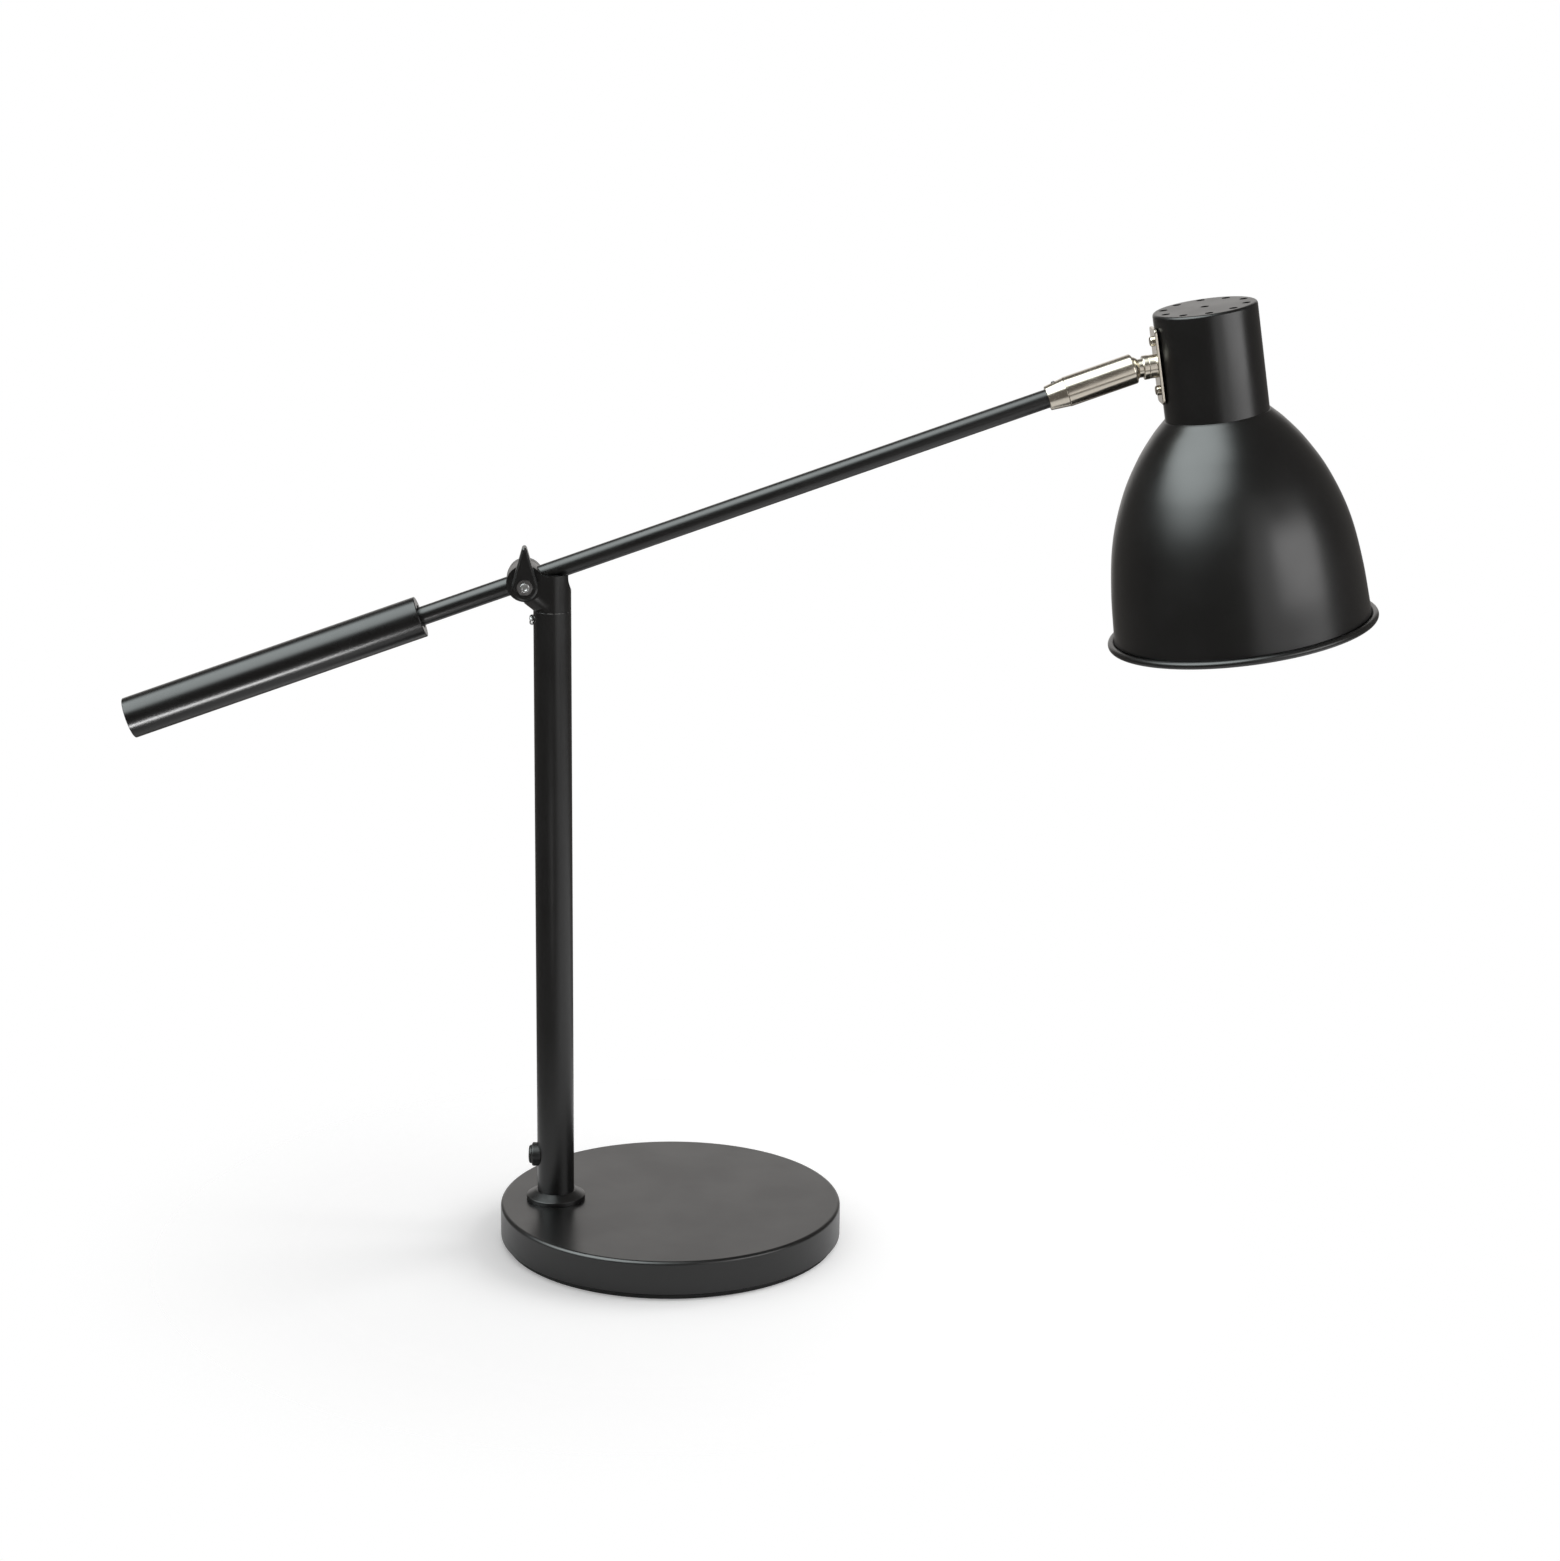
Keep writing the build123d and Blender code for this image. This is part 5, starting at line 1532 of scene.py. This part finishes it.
@dataclass
class Studio:
    """White backdrop, floor with the lamp's shadow, soft lights and the camera."""

    room: float = 0.15
    room_tint: Colour = (1.06, 1.0, 0.94)
    ambient: float = 0.62
    floor_half: float = 3.0              # half the floor's width, in metres
    floor_steps: int = 8
    floor_paper: float = 0.95
    floor_lift: float = 0.20             # makes the open floor white to the camera
    seen: Fade = Fade((-0.01, -0.01), 0.15, 0.33)   # the floor turns into the backdrop here
    near: Fade = Fade((0.0, 0.0), 0.18, 0.38)       # the same for light and reflections, round the base
    right: Fade = Fade((0.55, -0.20), 0.30, 0.75)   # and round a patch to the right
    boxes: tuple[Softbox, ...] = (
        Softbox(-65, 50, 18, 43, 5.8, (0.92, 1.0, 1.0)),
        Softbox(180, 12, 14, 32, 0.74, (1.02, 1.0, 0.98)),
    )
    lights: tuple[AreaLight, ...] = (
        AreaLight("key_light", (1.45, 0.35, 1.1), (0, 0, 0.1), (1.4, 1.4), 3.0, mirrored=False),
        AreaLight("side_box", (1.25, -0.70, 0.62), (0.27, 0, 0.45), (1.0, 0.62), 3.2, mirrored=True),
        AreaLight("side_veil", (0.68, -1.05, 0.52), (0.27, 0, 0.40), (0.55, 1.0), 0.8, mirrored=True),
        AreaLight("low_strip", (-0.25, -0.36, 0.015), (-0.25, 0, 0.30), (0.30, 0.08), 1.3, mirrored=True,
                  spread=34.0),
    )

    def world(self) -> None:
        """White to the camera, a studio to reflections, and even light to the rest."""
        world = bpy.data.worlds.new("studio")
        world.use_nodes = True
        sheet = Sheet(world.node_tree)
        spot = sheet.add("ShaderNodeTexCoord").outputs["Generated"]
        red, green, blue = (self.room * share for share in self.room_tint)
        total = sheet.add("ShaderNodeCombineXYZ", X=red, Y=green, Z=blue).outputs["Vector"]
        for box in self.boxes:
            dot = sheet.add("ShaderNodeVectorMath", operation="DOT_PRODUCT")
            sheet.join(spot, dot.inputs[0])
            dot.inputs[1].default_value = box.direction
            lobe = sheet.smooth(dot.outputs["Value"], math.cos(math.radians(box.edge)),
                                math.cos(math.radians(box.core)), box.level)
            more = sheet.add("ShaderNodeVectorMath", operation="MULTIPLY_ADD")
            more.inputs[0].default_value = box.tint
            sheet.join(lobe, more.inputs[1])
            sheet.join(total, more.inputs[2])
            total = more.outputs["Vector"]
        path = sheet.add("ShaderNodeLightPath")
        level = sheet.blend(path.outputs["Is Glossy Ray"], (self.ambient,) * 3, total)
        shown = sheet.blend(path.outputs["Is Camera Ray"], level, (1, 1, 1))
        light = sheet.add("ShaderNodeBackground", Color=shown)
        out = sheet.add("ShaderNodeOutputWorld")
        sheet.join(light.outputs["Background"], out.inputs["Surface"])
        world.cycles.sampling_method = "NONE"
        bpy.context.scene.world = world

    @staticmethod
    def faded(sheet: Sheet, spot: bpy.types.NodeSocket, fade: Fade) -> bpy.types.NodeSocket:
        """Give 0 inside a round patch and 1 outside it.

        Args:
            sheet: the node tree.
            spot: the place on the floor.
            fade: the patch.

        Returns:
            The value's output.
        """
        across, ahead = fade.centre
        centred = sheet.add("ShaderNodeMapping", Vector=spot, Location=(-across, -ahead, 0))
        far = sheet.add("ShaderNodeVectorMath", operation="LENGTH")
        sheet.join(centred.outputs["Vector"], far.inputs[0])
        return sheet.smooth(far.outputs["Value"], fade.start, fade.end)

    def paper(self) -> bpy.types.Material:
        """Make the floor's finish, clear where it fades out."""
        made = bpy.data.materials.new("pale_floor")
        made.use_nodes = True
        sheet = Sheet(made.node_tree)
        spot = sheet.add("ShaderNodeTexCoord").outputs["Object"]
        seen, near, right = (self.faded(sheet, spot, fade) for fade in (self.seen, self.near, self.right))
        to_camera = sheet.add("ShaderNodeLightPath").outputs["Is Camera Ray"]
        reach = sheet.add("ShaderNodeMix", data_type="FLOAT")
        for socket, index in ((to_camera, 0), (sheet.compute("MINIMUM", near, right), 2), (seen, 3)):
            sheet.join(socket, reach.inputs[index])
        paper = sheet.add("ShaderNodeBsdfDiffuse", Color=(*(self.floor_paper,) * 3, 1))
        lift = sheet.compute("MULTIPLY", to_camera, self.floor_lift)
        glow = sheet.add("ShaderNodeEmission", Color=(1, 1, 1, 1), Strength=lift)
        ground = sheet.add("ShaderNodeAddShader")
        sheet.join(paper.outputs["BSDF"], ground.inputs[0])
        sheet.join(glow.outputs["Emission"], ground.inputs[1])
        clear = sheet.add("ShaderNodeBsdfTransparent")
        mix = sheet.add("ShaderNodeMixShader")
        sheet.join(reach.outputs[0], mix.inputs["Fac"])
        sheet.join(ground.outputs["Shader"], mix.inputs[1])
        sheet.join(clear.outputs["BSDF"], mix.inputs[2])
        out = sheet.add("ShaderNodeOutputMaterial")
        sheet.join(mix.outputs["Shader"], out.inputs["Surface"])
        return made

    def floor(self) -> None:
        """Pale floor that fades into the backdrop away from the lamp."""
        mesh = bmesh.new()
        bmesh.ops.create_grid(mesh, x_segments=self.floor_steps, y_segments=self.floor_steps,
                              size=self.floor_half)
        data = bpy.data.meshes.new("floor")
        mesh.to_mesh(data)
        mesh.free()
        data.materials.append(self.paper())
        ground_plane = bpy.data.objects.new("floor", data)
        bpy.context.scene.collection.objects.link(ground_plane)

    def build(self) -> None:
        """Set up the stage."""
        bpy.context.scene.view_settings.view_transform = "Standard"
        self.world()
        self.floor()
        for light in self.lights:
            light.hang()
        Viewpoint().build()


def main() -> None:
    """Build the lamp and its stage, in order."""
    logging.basicConfig(level=logging.INFO, format="%(name)s %(message)s")
    places = Places()
    bench = Bench()
    for assembly in (Base(bench), Post(places, bench), Head(places, bench), Arm(places, bench),
                     Swivel(places, bench), Shade(places, bench), LampHolder(places, bench)):
        assembly.build()
    Studio().build()
    LOG.info("%d pieces made", len(bench.made))


if __name__ == "__main__":
    main()
